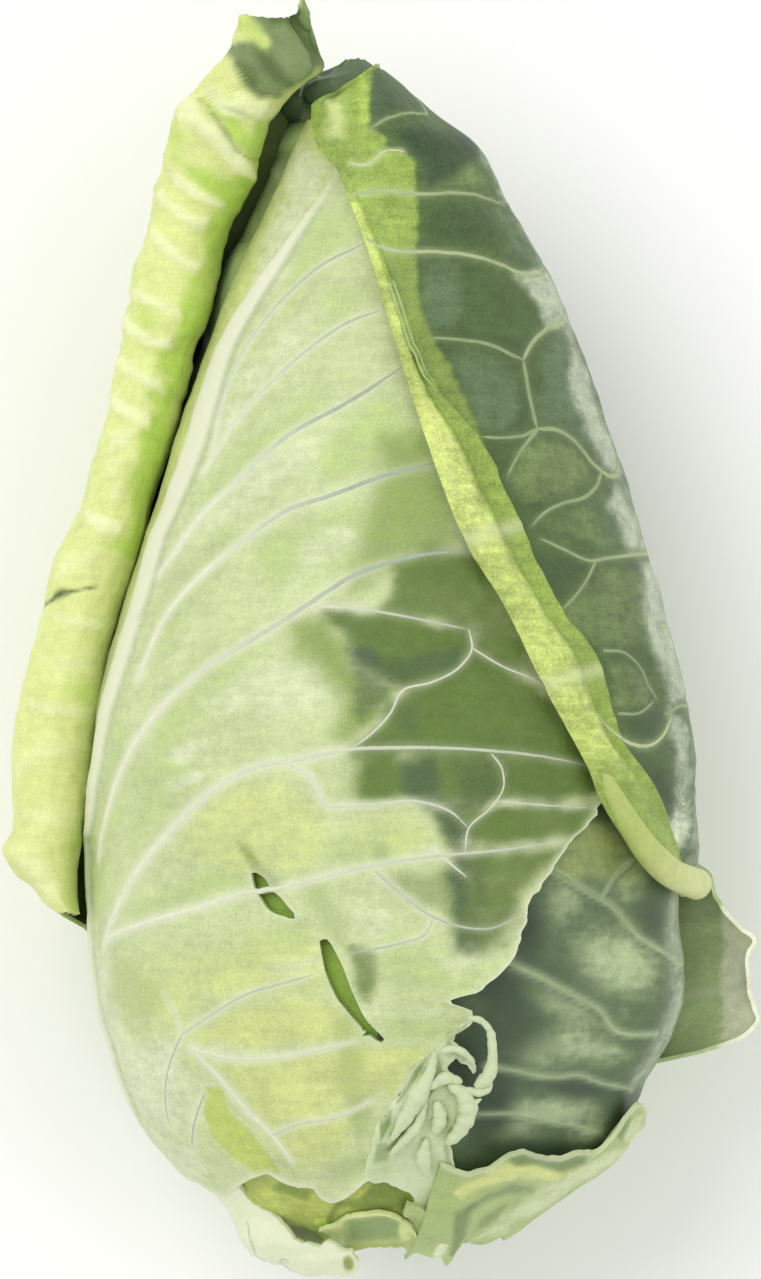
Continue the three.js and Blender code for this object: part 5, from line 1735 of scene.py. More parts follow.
low_veins = low_seen(LOW_VEINS) + LOW_BACK_VEINS
low_near = Near(low, low_veins)
low.raise_by(0.3 * low_near.line(0, 1)
             + low_near.swell(9, 0.8) * (0.8 + 0.5 * low.clouds(8, 8, 161))
             + 0.5 * low.clouds(13, 13, 163)
             + 0.12 * low.clouds(3, 3, 165) - 0.2)
LOW_HIGHLIGHTS = [
    (49, 66.5, 8, 6.5, -30, 0.85), (37, 79.5, 4.5, 4, -30, 0.6), (43, 48.5, 8, 3.2, -10, 0.7),
    (34, 35.5, 10, 2.6, -5, 0.85), (31, 48, 6, 4, -20, 0.5), (38, 57, 8, 3, -30, 0.5),
    (25, 31.5, 6, 2.5, 10, 0.6), (50, 83, 5, 4, 0, 0.5), (43, 30.5, 5, 2, 0, 0.6),
    (41, 70, 6, 3, -30, 0.35),
]
LOW_YELLOW = [
    (45, 91, 7, 5, -30, 0.9), (38, 86, 5, 4, 0, 0.6), (52, 86, 4, 4, 0, 0.4),
    (50, 75, 5, 3, -40, 0.3),
]
LOW_DEEP = [
    (29, 74, 5, 8, 10, 0.9), (24, 60, 6, 6, 0, 0.9), (36, 63, 5, 4, 0, 0.4), (22, 36, 6, 9, 0, 0.9),
    (27, 52, 7, 7, 0, 0.7), (40, 40.5, 9, 2, -5, 0.8), (17, 46, 6, 9, 0, 0.8),
    (33, 27, 10, 3, 0, 0.7),
    (56, 76, 4, 6, 0, 0.6), (50, 36, 6, 4, 0, 0.6),
]
# Painted highlights on the bulges.
low.mark("light", spots_on(low.points, LOW_HIGHLIGHTS, 17))
low.mark("yellow", spots_on(low.points, LOW_YELLOW, 18))
low.mark("deep", spots_on(low.points, LOW_DEEP, 19))
low_turns = low.across
# A painted sheen where the leaf turns away at its side.
past_side = low_turns - through([(30, 72), (50, 76), (64, 76), (80, 78)], low_rows)[:, None]
low_side_sheen = bell(past_side, np.where(past_side > 0, 20, 6))
low_side_sheen = low_side_sheen * ease(low_rows, 34, 44)[:, None]
low.mark("edge", low_side_sheen * (0.5 + 0.2 * cloudy(low_turns / 12, low.y / 12, 166)))
low.mark("cream", 0.55 * low_near.line(0.5, 0.35))
low.mark("slate", low_near.shade(1.1, 0.5) * 0.6)
low_finish = leaf_finish("lower_right_blue_green", (0.10, 0.155, 0.07), [
    ("light", (0.42, 0.52, 0.28)), ("yellow", (0.32, 0.39, 0.13)),
    ("deep", (0.043, 0.07, 0.038)), ("edge", (0.52, 0.60, 0.42))],
    streak_turn=-30.0, drift=0.2, cream=(0.50, 0.60, 0.38), slate=(0.05, 0.08, 0.045))
finished(sheet("lower_right_sheet", low, 0.9, low_finish), "blue_green_leaf", "lower_right_leaf")
low_ribs = vein_ribs("lower_right_veins", low, low_veins, dark_vein_finish, proud=0.28)
finished(low_ribs, "blue_green_leaf")

# %% [markdown]
# The ear leaf lies on the back at the right, under the curl leaf, and a lobe of it sticks
# out past the head's right side. It is olive green with a wide paler margin.

# %% Ear leaf
EAR_TURN = [
    (14, 122), (38, 118), (43.5, 115), (46.5, 107), (50, 102), (84, 102), (87.5, 110), (93, 117),
    (140, 126), (156, 140),
]
EAR_REACH = [  # how far right its side comes
    (44, 60), (45.5, 67), (46.5, 69.5), (48, 72), (50, 75.8), (54, 78.8), (57, 77.7), (62, 76.6),
    (67.5, 76.7), (70, 78), (71.5, 77.8), (73, 75.6), (76, 72.5), (80, 70), (84.5, 68.7),
    (87, 67.8),
    (89, 64),
]
EAR_BACK = [(14, 175), (88, 190), (140, 186), (156, 172)]


def ear_depth(turn, height):
    tucked = WRAP_STEP * ease(turn, 142, 156)
    reach = through(EAR_REACH, height) / 0.975 - (skin_radius(height) - OUTERMOST)
    standing = np.maximum(reach, 0) * (1 - ease(turn, 102, 119)) * ease(height, 43, 46)
    return OUTERMOST + tucked - standing * (1 - ease(height, 88, 94))


ear_rows = np.linspace(14, 156, 150)
ear_from = through(EAR_TURN, ear_rows) + 0.9 * cloudy(ear_rows / 5, 0, 171) * ease(ear_rows, 44, 50)
ear_from = ear_from + 0.5 * wander(ear_rows / 1.6, 0, 172)
ear = wrap(ear_rows, ear_from, EAR_BACK, 74, ear_depth)
EAR_VEINS = [
    ([(176, 20), (168, 60), (156, 100), (146, 145)], 2.4, 1),
    ([(170, 50), (145, 52), (122, 56), (102, 62)], 1.5, 0.7),
    ([(166, 68), (142, 72), (118, 76), (104, 78)], 1.3, 0.6),
    ([(172, 38), (150, 36), (130, 40), (115, 46)], 1.2, 0.6),
    ([(160, 88), (142, 96), (128, 104)], 1.2, 0.5),
    ([(153, 110), (140, 118), (130, 126)], 1.1, 0.5),
]
ear_near = Near(ear, EAR_VEINS)
ear_a = ear.across / 9
ear_h = ear_rows[:, None]
round_back = ease(ear.across, 104, 122)
ear.raise_by(0.3 * ear_near.line(0, 1) + 0.8 * ear_near.swell(9, 0.8) * round_back
             + 0.9 * cloudy(ear_a, ear_h / 12, 173) * round_back
             + 0.12 * cloudy(ear_a * 3, ear_h / 3, 175))
ear_x = ear.points[..., 0] + 0.8 * cloudy(ear_a * 2, ear_h / 7, 177)
ear.mark("margin", ease(ear_x, 70.6, 72.2) * (1 - ease(ear.across, 106, 114)))
ear.mark("deep", np.clip(round_back * 0.7 + 0.35 * ease(ear_h, 76, 84) + 0.3 * bell(ear_x - 70.6, 0.7)
                         + 0.3 * cloudy(ear_x / 1.5, ear_h / 14, 179), 0, 1))
ear.mark("cream", 0.6 * ear_near.line(0.5, 0.4))
olive_green = leaf_finish("ear_leaf_olive", (0.58, 0.72, 0.36), [
    ("deep", (0.40, 0.53, 0.21)), ("margin", (0.94, 0.96, 0.71))],
    streak_turn=80.0, drift=0.2, inside=None)
finished(sheet("ear_leaf_sheet", ear, 0.9, olive_green), "green_leaf", "ear_leaf")
ear_ribs = vein_ribs("ear_leaf_veins", ear, EAR_VEINS, dark_vein_finish, proud=0.3)
finished(ear_ribs, "green_leaf")

# %% [markdown]
# The inner back leaf closes the head underneath. Most of it is covered, but from the back
# its midrib and side veins show between the curl leaf and the right leaf.

# %% Inner back leaf
BACK_LEFT = [(12, 112), (88, 118), (200, 140), (246, 150)]
BACK_RIGHT = [(12, 252), (88, 258), (130, 258), (200, 205), (246, 195)]
back_rows = np.linspace(12, 246, 170)
back = wrap(back_rows, BACK_LEFT, BACK_RIGHT, 90, WRAP_STEP)
BACK_VEINS = [([(180, 14), (182, 80), (178, 160), (172, 240)], 3.6, 1.2)]
SIDE_VEINS = [  # where each pair leaves the midrib, and how far it reaches in degrees
    (30, 66), (52, 66), (76, 62), (100, 58), (126, 48), (152, 36), (178, 24), (200, 16),
]
MIDDLE_TURN = 181
for height, reach in SIDE_VEINS:
    one_side = [(MIDDLE_TURN, height), (MIDDLE_TURN + reach * 0.5, height + 12),
                (MIDDLE_TURN + reach, height + 30)]
    other_side = [(MIDDLE_TURN, height + 8), (MIDDLE_TURN - reach * 0.45, height + 20),
                  (MIDDLE_TURN - reach * 0.8, height + 38)]
    BACK_VEINS += [(one_side, 1.8, 0.7), (other_side, 1.8, 0.7)]
back_near = Near(back, BACK_VEINS)
back.raise_by(0.5 * back_near.line(0.5, 0.3) + 0.7 * back_near.swell(8)
              + 0.4 * cloudy(back.across / 9, back_rows[:, None] / 12, 181) - 0.3,
              ROUNDNESS * (WRAP_STEP - OUTERMOST) - 0.4)
back.mark("deep", 0.5 + 0.5 * cloudy(back.across / 14, back_rows[:, None] / 18, 183))
back.mark("cream", 0.8 * back_near.line(0.5, 0.4))
back_finish = leaf_finish("back_leaf_green", (0.36, 0.46, 0.20), [
    ("deep", (0.25, 0.35, 0.13), 0.45)], drift=0.2)
finished(sheet("inner_back_sheet", back, 0.9, back_finish), "green_leaf", "inner_back_leaf")
back_ribs = vein_ribs("inner_back_veins", back, BACK_VEINS, vein_finish, proud=0.4)
finished(back_ribs, "green_leaf")

# %% [markdown]
# Round the stalk are the stubs of outer leaves that were torn away. The left one comes out
# from under the front leaf and stands round the stalk, pale and thick. Small leaves are
# drawn as an outline seen from above, and their grid is cut to it.

# %% Torn leaf at the base, left
def band(turns, lower, upper, rows, depth):
    """A short leaf round the head: columns of one turn, rows from its lower to its upper edge."""
    share = np.linspace(0, 1, rows)[:, None]
    heights = lower + (upper - lower) * share
    spread = np.broadcast_to(turns, heights.shape)
    return Leaf(share[:, 0], spread, on_head(spread, heights, depth(spread, heights)))


def cut_to(leaf, outline, seed, ragged=0.4):
    """How far inside an outline each point is, with an uneven border."""
    x, y = from_above(leaf.points)
    return np.minimum(depth_inside(x, y, outline) + ragged * cloudy(x / 2.5, y / 2.5, seed), 6)


STUB_DEPTH = [
    (0.3, -11.6), (1.5, -12.2), (4, -11.8), (6, -9.2), (8, -6.3), (11.6, -1), (15, 2.4),
    (18.3, 4.1), (24, 4.6),
]
CREAM_OUTLINE = [
    (-50, 23), (-31, 22), (-29, 18.5), (-27.5, 16), (-24, 14), (-22, 12.5), (-20.5, 11), (-19, 9),
    (-17, 8), (-16, 8.3), (-13.5, 7), (-12, 8.2), (-10.5, 7.5), (-8.5, 6), (-7, 6), (-5.5, 4),
    (-5.8, 1.8), (-8, 0.9), (-16.5, 0.8), (-19, 1.5), (-21, 2.8), (-24, 3.6), (-27, 4.6), (-50, 6),
]
stub_rows = np.linspace(0.5, 24, 60)
cream_leaf = wrap(stub_rows, [(0.5, -112), (24, -104)], [(0.5, -8), (10, -10), (24, -40)], 120,
                  lambda turn, height: through(STUB_DEPTH, height))
CREAM_VEINS = [
    ([(-66, 12), (-68, 8), (-74, 5), (-72, 3.5)], 0.9, 0.6, 0.8, 0.9),
    ([(-50, 4.5), (-58, 2.5), (-57, 1.5)], 0.7, 0.5, 0.8, 0.8),
    ([(-98, 16), (-92, 11), (-90, 6)], 0.8, 0.6, 0.5, 0.8),
]
cream_cut = cut_to(cream_leaf, CREAM_OUTLINE, 193, 0.5)
cream_near = Near(cream_leaf, CREAM_VEINS)
cream_leaf.raise_by(0.5 * cream_near.swell(5) + 0.5 * cream_leaf.clouds(6, 5, 195)
                    + 0.12 * cream_leaf.clouds(2.5, 2.5, 197))
cream_leaf.mark("fresh", 0.3 + 0.5 * cream_leaf.clouds(6, 6, 199))
cream_leaf.mark("drop", spots_on(cream_leaf.points, [(-7.6, 3.6, 1.5, 2, 0, 1)], 20, 0.1))
cream_leaf.mark("cream", np.maximum(0.5 * cream_near.line(0, 0.9), 0.8 * bell(cream_cut, 0.8)))
cream_leaf.mark("slate", cream_near.shade(0.9, 0.45) * 0.4)
base_cream = leaf_finish("base_leaf_cream", (0.74, 0.79, 0.545), [
    ("fresh", (0.66, 0.74, 0.46), 0.45), ("drop", (0.30, 0.34, 0.085), 0.3)], drift=0.1)
cream_piece = sheet("base_left_sheet", cream_leaf, 1.1, base_cream, cream_cut)
finished(cream_piece, "cream_leaf", "base_leaf_left")
cream_ribs = vein_ribs("base_left_veins", cream_leaf, CREAM_VEINS, vein_finish, proud=0.2)
finished(cream_ribs, "cream_leaf")

# %% [markdown]
# The right stub hugs the head. It is pleated from the stalk up to the right, and its right
# end turns over in a small round fold.

# %% Torn leaf at the base, right
fold_turns = np.linspace(14, 104, 150)
FOLD_LOWER = [(14, 4), (17, 5.5), (40, 6.5), (62, 7), (66, 8.5), (80, 8), (104, 12)]
FOLD_UPPER = [
    (14, 24), (20, 22.8), (26, 24), (29, 26), (33, 27.6), (43, 26), (54, 26.6), (61, 27), (64, 29),
    (66, 33.5), (70, 36.6), (76, 36), (84, 33), (104, 31),
]
fold_low = through(FOLD_LOWER, fold_turns) + 0.7 * cloudy(fold_turns / 6, 0, 201)
fold_top = through(FOLD_UPPER, fold_turns) + 0.5 * cloudy(fold_turns / 4, 0, 203)


def right_base_depth(turn, height):
    return 0.4 - 2.4 * (1 - ease(height, 6, 16)) - 1.2 * ease(height, 16, 24)


fold_leaf = band(fold_turns, fold_low, fold_top, 60, right_base_depth)
pleat_at = (fold_leaf.y - 0.72 * fold_leaf.x) / 3.4 + 0.5 * fold_leaf.clouds(9, 9, 205)
pleat = np.sin(pleat_at) * (1 - 0.8 * ease(fold_turns, 50, 64))
upper_side = fold_leaf.from_side("top")
fold_leaf.raise_by(0.8 * pleat + 0.35 * fold_leaf.clouds(6, 5, 207)
                   + 0.6 * bell(upper_side, 1.6))
FOLD_DEEP = [
    ([(25, 26.5), (30, 27), (36, 25.5), (42, 26.5), (42, 24.5), (37, 22.5), (31, 24.5),
      (27, 24)], 1, 0.75),
    ([(31, 20), (31, 18), (26, 18), (21, 16.5), (17, 14), (17, 15.5), (21, 18.5),
      (27, 20.5)], 1, 0.65),
    ([(26, 16.5), (24, 13), (21, 10.5), (18, 9.5), (20, 13)], 1, 0.55),
    ([(18.5, 16), (16.5, 7), (14, 4), (14, 14.5)], 1, 0.7),
    ([(52, 36), (51.5, 33), (49.5, 29), (48.5, 30), (49.5, 34)], 0.8, 0.6),
]
FOLD_YELLOW = [
    ([(14, 18.5), (16, 20.5), (22, 23.5), (27, 24.5), (31, 24.5), (37, 22.5), (36, 20.5),
      (28, 21.5), (22, 20), (16, 17)], 1.1, 0.95),
]
FOLD_PALE = [
    ([(53, 28.5), (50, 25), (34, 15), (28, 12), (24, 9), (18, 8), (33, 20), (48, 27)], 1.5, 0.75),
    ([(50, 29), (51, 33), (54, 34.5), (54, 30), (52, 28)], 1, 0.7),
]
fold_leaf.mark("fresh", np.clip(0.4 - 0.4 * pleat + 0.3 * fold_leaf.clouds(5, 5, 209), 0, 1))
paint(fold_leaf, "yellow", FOLD_YELLOW, 21, 0.8)
paint(fold_leaf, "pale", FOLD_PALE, 23, 0.8)
paint(fold_leaf, "deep", FOLD_DEEP, 22, 0.6)
fold_leaf.mark("cream", 0.5 * bell(upper_side, 0.8))
base_green = leaf_finish("base_leaf_green", (0.38, 0.485, 0.18), [
    ("fresh", (0.36, 0.46, 0.17)), ("pale", (0.60, 0.68, 0.39)),
    ("yellow", (0.60, 0.65, 0.24)), ("deep", (0.15, 0.23, 0.075))], streak_turn=35.0, drift=0.16)
finished(sheet("base_right_sheet", fold_leaf, 1.1, base_green), "pale_leaf", "base_leaf_right")

# %% [markdown]
# Between them an olive leaf, a small flap with a painted highlight on its rim and a pointed
# lobe fill the middle of the base. The olive leaf lies deep in the gap, and its dark olive is
# painted shade over its green.

# %% Olive leaf
olive_rows = np.linspace(7, 34, 60)
olive = wrap(olive_rows, [(7, -66), (20, -58), (34, -40)], [(7, 20), (22, 24), (34, -6)], 110, 6.2)
olive_lift = 1.6 * (1 - ease(olive.y, 17, 22)) + 0.5
olive.raise_by(olive_lift + 0.5 * olive.clouds(5, 4, 211))
OLIVE_DARK = [
    ([(-20, 11.5), (-17, 11.5), (-14, 10), (-12, 8), (-14, 7), (-17, 8), (-19.5, 9.5)], 0.7, 1),
    ([(-16, 16), (-24, 19), (-22, 21), (-17.5, 19.5), (-15.5, 18.5)], 1.2, 0.7),
    ([(6, 18), (5, 15), (-3, 15), (-8, 16), (-10, 15), (-11, 12), (-14, 11), (-10, 16.5), (-5, 17),
      (-2, 22), (3, 20)], 1.2, 0.9),
]
OLIVE_BRIGHT = [([(-14.5, 13), (-12.5, 13), (-12, 11.5), (-13.5, 11), (-15, 12)], 0.5, 1),
                ([(-27, 19), (-24, 20), (-21, 15), (-17, 14), (-19, 12.5), (-24, 15)], 1.5, 0.5)]
paint(olive, "dark", OLIVE_DARK, 24, 0.8)
paint(olive, "bright", OLIVE_BRIGHT, 25, 0.4)
# Its dark olive is its green with painted shade, for it lies deep in the gap.
olive_finish = leaf_finish("olive_in_shade", (0.42, 0.49, 0.11), [
    ("dark", (0.20, 0.27, 0.05), 0.4), ("bright", (0.52, 0.66, 0.13), 0.4)], drift=0.25)
olive_cut = 0.9 * cloudy(olive.across / 5, olive_rows[:, None] / 3, 213)
olive_cut = np.minimum(olive_rows[:, None] - 8.2 + olive_cut, 3)
finished(sheet("olive_leaf_sheet", olive, 0.9, olive_finish, olive_cut), "olive_leaf", "olive_leaf")

# %% [markdown]
# The flap is a short thick tongue in front of the olive leaf. Its upper rim is raised as a
# small roll, and the light that falls on it is painted on it as a highlight.

# %% Flap
FLAP_OUTLINE = [
    (-14, 11), (-10.5, 12), (-8, 14), (-5, 14.4), (-1, 14.8), (2, 14.2), (5, 12.6), (6.2, 11),
    (6.7, 8.6), (5, 7.9), (2.5, 8), (-1, 7.7), (-4.5, 7.5), (-6.3, 6.7), (-7.3, 5.2), (-9, 5.4),
    (-10.5, 7.4), (-12.5, 9.5),
]
flap_rows = np.linspace(4, 16, 52)
flap = wrap(flap_rows, np.full(52, -44.0), np.full(52, 22.0), 90, 1.4)
flap_cut = cut_to(flap, FLAP_OUTLINE, 220, 0.25)
FLAP_TOP = [(-14, 11), (-10.5, 12), (-8, 14), (-1, 14.8), (2, 14.2), (5, 12.6), (7, 9)]
flap_top = through(FLAP_TOP, flap.x) - flap.y
flap.raise_by(0.35 * flap.clouds(4, 4, 221)
              + 0.9 * bell(np.maximum(flap_top, 0), 1.1)
              + 0.5 * ease(flap.x, 1, 4))
FLAP_DEEP = [([(-8, 12.8), (0, 13.6), (3.5, 12), (2.8, 8.5), (-3, 8), (-7.5, 8)], 0.9, 0.85)]
FLAP_PALE = [([(-14, 11), (-9, 12.5), (-8.3, 8), (-7.5, 5), (-10, 6), (-12, 9)], 0.5, 0.8),
             ([(3, 12), (6, 11.5), (7, 8.5), (3.5, 8), (3, 10)], 0.7, 0.8)]
paint(flap, "deep", FLAP_DEEP, 26, 0.7)
paint(flap, "pale", FLAP_PALE, 27, 0.4)
# A painted highlight on the rim, where light falls on it.
flap.mark("rim", bell(flap_top - 0.3, 0.5))
flap_finish = leaf_finish("base_flap_green", (0.40, 0.50, 0.19), [
    ("deep", (0.25, 0.35, 0.12)), ("pale", (0.60, 0.68, 0.28)),
    ("rim", (0.64, 0.70, 0.29), 0.3)], drift=0.16)
finished(sheet("base_flap_sheet", flap, 1.0, flap_finish, flap_cut), "green_leaf", "base_flap")

# %% [markdown]
# The lobe is folded like a fan and ends in a point. Its folds are all alike, so one wave
# across it makes them.

# %% Lobe
LOBE_OUTLINE = [
    (4.5, 16.5), (8, 14.8), (9.5, 13.9), (13.7, 14.4), (17, 15), (19, 13.5), (18, 10.5),
    (16.4, 7.8),
    (14.8, 5.5), (14, 3.8), (12.8, 2.6), (12, 4.3), (10.8, 5), (8.4, 4.7), (5.9, 5.3), (4.2, 6.3),
    (3.2, 8), (5, 8.3), (5.8, 10), (5.4, 12), (4, 14),
]
lobe_rows = np.linspace(2, 18, 60)
lobe = wrap(lobe_rows, np.full(60, 2.0), np.full(60, 62.0), 80,
            lambda turn, height: 0.6 - 4 * (1 - ease(height, 2, 10)))
lobe_cut = cut_to(lobe, LOBE_OUTLINE, 230, 0.35)
lobe_pleat = np.sin((lobe.x - 0.55 * lobe.y) / 0.95)
lobe.raise_by(0.45 * lobe_pleat + 0.4 * lobe.clouds(4, 4, 231))
LOBE_DEEP = [
    ([(11, 14), (16, 14.8), (18.5, 13), (15, 10), (12.5, 6.5), (11, 9)], 0.8, 0.8),
    ([(6, 13), (9, 12), (9, 8), (7, 7)], 1, 0.4),
    ([(14.5, 9), (16.5, 9), (14.5, 4.5), (13.6, 5)], 0.6, 0.7),
]
LOBE_PALE = [([(12.6, 12.6), (14.8, 11.8), (12.6, 5.5), (10.4, 4.8), (11.2, 8.5)], 0.7, 0.9)]
paint(lobe, "deep", LOBE_DEEP, 28, 0.6)
paint(lobe, "pale", LOBE_PALE, 29, 0.4)
lobe_finish = leaf_finish("base_lobe_green", (0.42, 0.52, 0.21), [
    ("deep", (0.20, 0.29, 0.10)), ("pale", (0.68, 0.76, 0.50))], drift=0.2)
finished(sheet("base_lobe_sheet", lobe, 1.0, lobe_finish, lobe_cut), "green_leaf", "base_lobe")

# %% [markdown]
# Where the front leaf's foot was gnawed, its edge has healed into fat pale curls. Under
# them lies a pale ruffled leaf, whose own crumples are noise, and whose edge is drawn.

# %% Ruffled leaf
RUFFLE_OUTLINE = [
    (3, 39), (0.4, 35.8), (-1.4, 33), (-2.8, 29.8), (-3.6, 26.5), (-4.2, 24), (-4, 22),
    (-2.5, 20.8),
    (0, 20.6), (2.8, 19.8), (5.5, 18.7), (6.5, 15.5), (9, 14), (12.6, 13.2), (17, 14.6), (19, 18),
    (17, 20.5), (15, 22.8), (14, 25.6), (13.8, 28.8), (14.8, 31), (17.4, 34), (18.1, 37.2),
    (17.2, 39.6), (15.4, 41.6), (14, 43.2), (12.9, 45), (14.6, 46.8), (17.2, 45.2), (18.3, 43.4),
    (19.2, 44.2), (18.2, 47), (16.4, 48.6), (14.3, 50.3), (15.2, 52.4), (16.8, 54.6), (14.8, 53.4),
    (12.6, 51), (9.7, 48.2), (6, 44.5),
]
ruffle_rows = np.linspace(12.5, 56, 96)
ruffle = wrap(ruffle_rows, [(12.5, 4), (20, -8), (30, -6), (47, 4), (56, 12)],
              [(12.5, 36), (20, 28), (30, 22), (56, 27)], 66,
              lambda turn, height: 2.2 - 0.8 * ease(height, 16, 26))
crumpled = ease(ruffle.y, 24, 32)
crumples = 0.8 * ruffle.clouds(3.2, 4.5, 241)
crumples = crumples + 0.3 * ruffle.clouds(1.5, 1.5, 243)
ruffle.raise_by(crumpled * crumples
                + 0.5 * ruffle.clouds(8, 7, 244) * (1 - crumpled))
ruffle.mark("fresh", 0.4 + 0.45 * ruffle.clouds(4, 4, 245))
# Painted shadow along the curls and in the gap beside the front leaf's edge.
RUFFLE_SHADOWS = [
    ([(-1.5, 35), (1.8, 37), (1.4, 33), (-1, 29.5)], 0.6, 1),
    ([(-2, 29), (0.5, 29.5), (0.8, 25.5), (-2.5, 25)], 0.8, 0.6),
    ([(11, 49), (8, 45.5), (2.6, 37), (2, 37.6), (7.2, 46.2), (10, 49.3)], 0.4, 0.9),
    ([(10.9, 48.5), (11.2, 43.5), (6.6, 37.2), (5.4, 34), (2.2, 30.8), (0.2, 27.8), (1.4, 27.4),
      (6.8, 33), (8, 36.8), (12.2, 43)], 0.5, 0.9),
    ([(12, 51), (16, 54), (15, 51), (13, 48.8)], 0.6, 0.7),
    ([(11.6, 36.2), (13.4, 34.6), (13.2, 32.4), (11.4, 30.2), (12.4, 32.4),
      (12.4, 34.4)], 0.4, 0.9),
    ([(12, 29), (14, 29.5), (14.2, 24), (12.6, 24.5)], 0.6, 0.6),
]
paint(ruffle, "deep", RUFFLE_SHADOWS, 30, 0.5)
RUFFLE_YELLOW = [([(9, 18), (14, 21), (18, 20), (17, 17), (12, 16)], 1.5, 0.6)]
paint(ruffle, "yellow", RUFFLE_YELLOW, 31)
ruffle_finish = leaf_finish("ruffled_pale_green", (0.585, 0.67, 0.41), [
    ("fresh", (0.41, 0.51, 0.25), 0.45), ("yellow", (0.64, 0.70, 0.33)),
    ("deep", (0.22, 0.31, 0.11), 0.4)], drift=0.16)
ruffle_cut = cut_to(ruffle, RUFFLE_OUTLINE, 247, 0.7)
ruffle.mark("cream", 0.5 * bell(ruffle_cut, 0.7))
ruffle_piece = sheet("ruffled_leaf_sheet", ruffle, 1.0, ruffle_finish, ruffle_cut)
finished(ruffle_piece, "pale_leaf", "ruffled_leaf")
# %% [markdown]
# The curls are thicker than any sheet and round, and they hang over one another. Modelling
# them as leaves would be much work for little, so they are swept like thick ribs.

# %% Curls on the ruffled leaf
CURLS = [  # (places as x and height, girth at start, middle and end, height above the head)
    ([(10.3, 48.3), (9.5, 44.6), (7.4, 40.3), (5, 35.8), (2.6, 31.8),
      (1.4, 29.8)], (0.8, 2.1, 0.9), 0.5),
    ([(17, 55.4), (19.6, 54.7), (21.3, 52.7), (21.8, 49.5), (21.8, 46.2), (21, 43.2), (18.4, 40.8)],
     (0.7, 1.0, 1.6), 1.2),
    ([(13, 41.5), (16, 39.4), (17, 36), (15.6, 32.2), (12.8, 29)], (1.2, 2.0, 1.3), 0.7),
    ([(11.6, 48.4), (14.3, 48.9), (17, 47.3), (18.6, 44.9)], (0.7, 0.8, 0.4), 0.8),
    ([(16.4, 40.6), (18.6, 39.9), (21, 40.6), (21.8, 41.8)], (0.6, 1.1, 0.5), 1.2),
    ([(15.3, 38.9), (17, 37.4), (19.6, 38.4)], (0.5, 0.9, 0.4), 1.3),
    ([(9, 40.6), (12.4, 42.8), (15.8, 41.9)], (0.8, 1.3, 0.9), 0.7),
    ([(8.4, 38), (6.6, 33), (3.6, 29.4), (1, 26.6)], (0.8, 1.2, 0.6), 0.2),
    ([(10.6, 38), (11.4, 34.5), (10.2, 31)], (1.0, 1.6, 1.0), 0.0),
    ([(8.6, 30), (8, 26), (9, 22)], (0.8, 1.5, 0.8), 0.0),
]
curl_paths = []
for places, (start, middle, end), above in CURLS:
    route = smooth_path(places, 0.5)
    spots = on_head(turn_at(route[:, 0], route[:, 1], 0.6), route[:, 1], 0.6 - above)
    share = np.linspace(0, 1, len(route))
    girth = through([(0, start * 0.5), (0.1, start), (0.5, middle), (0.9, end), (1, end * 0.4)], share)
    girth = girth * (1 + 0.16 * wander(route[:, 1] * 1.1, route[:, 0], 249))
    curl_paths.append({"spots": spots, "girth": girth, "slate": 0.25 + 0.2 * wander(share * 5, 0, 251)})
curl_green = cream_finish("curl_pale_green", (0.60, 0.67, 0.43), (0.42, 0.52, 0.28))
ruffle_curls = swept("ruffle_curls", curl_paths, curl_green, 12)
finished(ruffle_curls, "pale_leaf")

# %% [markdown]
# Inside everything is the heart, the packed bud. It shows through the tears and between
# the leaves at the stalk end, so it needs its own green, but little shape. It and the
# stalk are closed bodies: rings of points round the axis, joined at both ends.

# %% Closed bodies round the axis
BODY_SHARP_TURN = 60


def closed_body(name, rings, finish, marks):
    """Rings of points from the stalk end on, each once round, closed by a point at each end."""
    count, columns = rings.shape[:2]
    points = np.concatenate((rings.reshape(-1, 3), rings[:1].mean(axis=1), rings[-1:].mean(axis=1)))
    first = count * columns
    last = first + 1
    faces = []
    for start in range(0, first - columns, columns):
        for j in range(columns):
            k = (j + 1) % columns
            faces.append([start + j, start + k, start + columns + k, start + columns + j])
    for j in range(columns):
        k = (j + 1) % columns
        faces.append([first, k, j])
        faces.append([last, first - columns + j, first - columns + k])
    ends = {mark: np.concatenate((values.ravel(), [values[0].mean(), values[-1].mean()]))
            for mark, values in marks.items()}
    mesh = new_mesh(name, points, faces, ends)
    mesh.set_sharp_from_angle(angle=math.radians(BODY_SHARP_TURN))
    return new_object(name, mesh, finish)


def turned(profile, turns, depth, swell=0.0):
    """Rings from (radius, height) pairs, pressed flat below as a layer of that depth is."""
    radius, height = np.array(profile, float).T[:, :, None]
    radius = np.maximum(radius + swell, 0.02)
    angle = np.radians(turns)[None, :]
    x = axis_x(height) + radius * np.sin(angle)
    z = AXIS_Z + ROUNDNESS * radius * np.cos(angle)
    lowest = ROUNDNESS * (depth - OUTERMOST)
    return np.stack([x, height + 0 * angle, np.maximum(z, lowest)], axis=-1)

# %% [markdown]
# The heart follows the skin three layers down. At the stalk end it has a flat seat for the
# stalk, and there it is paler, as the inside of a cabbage is.

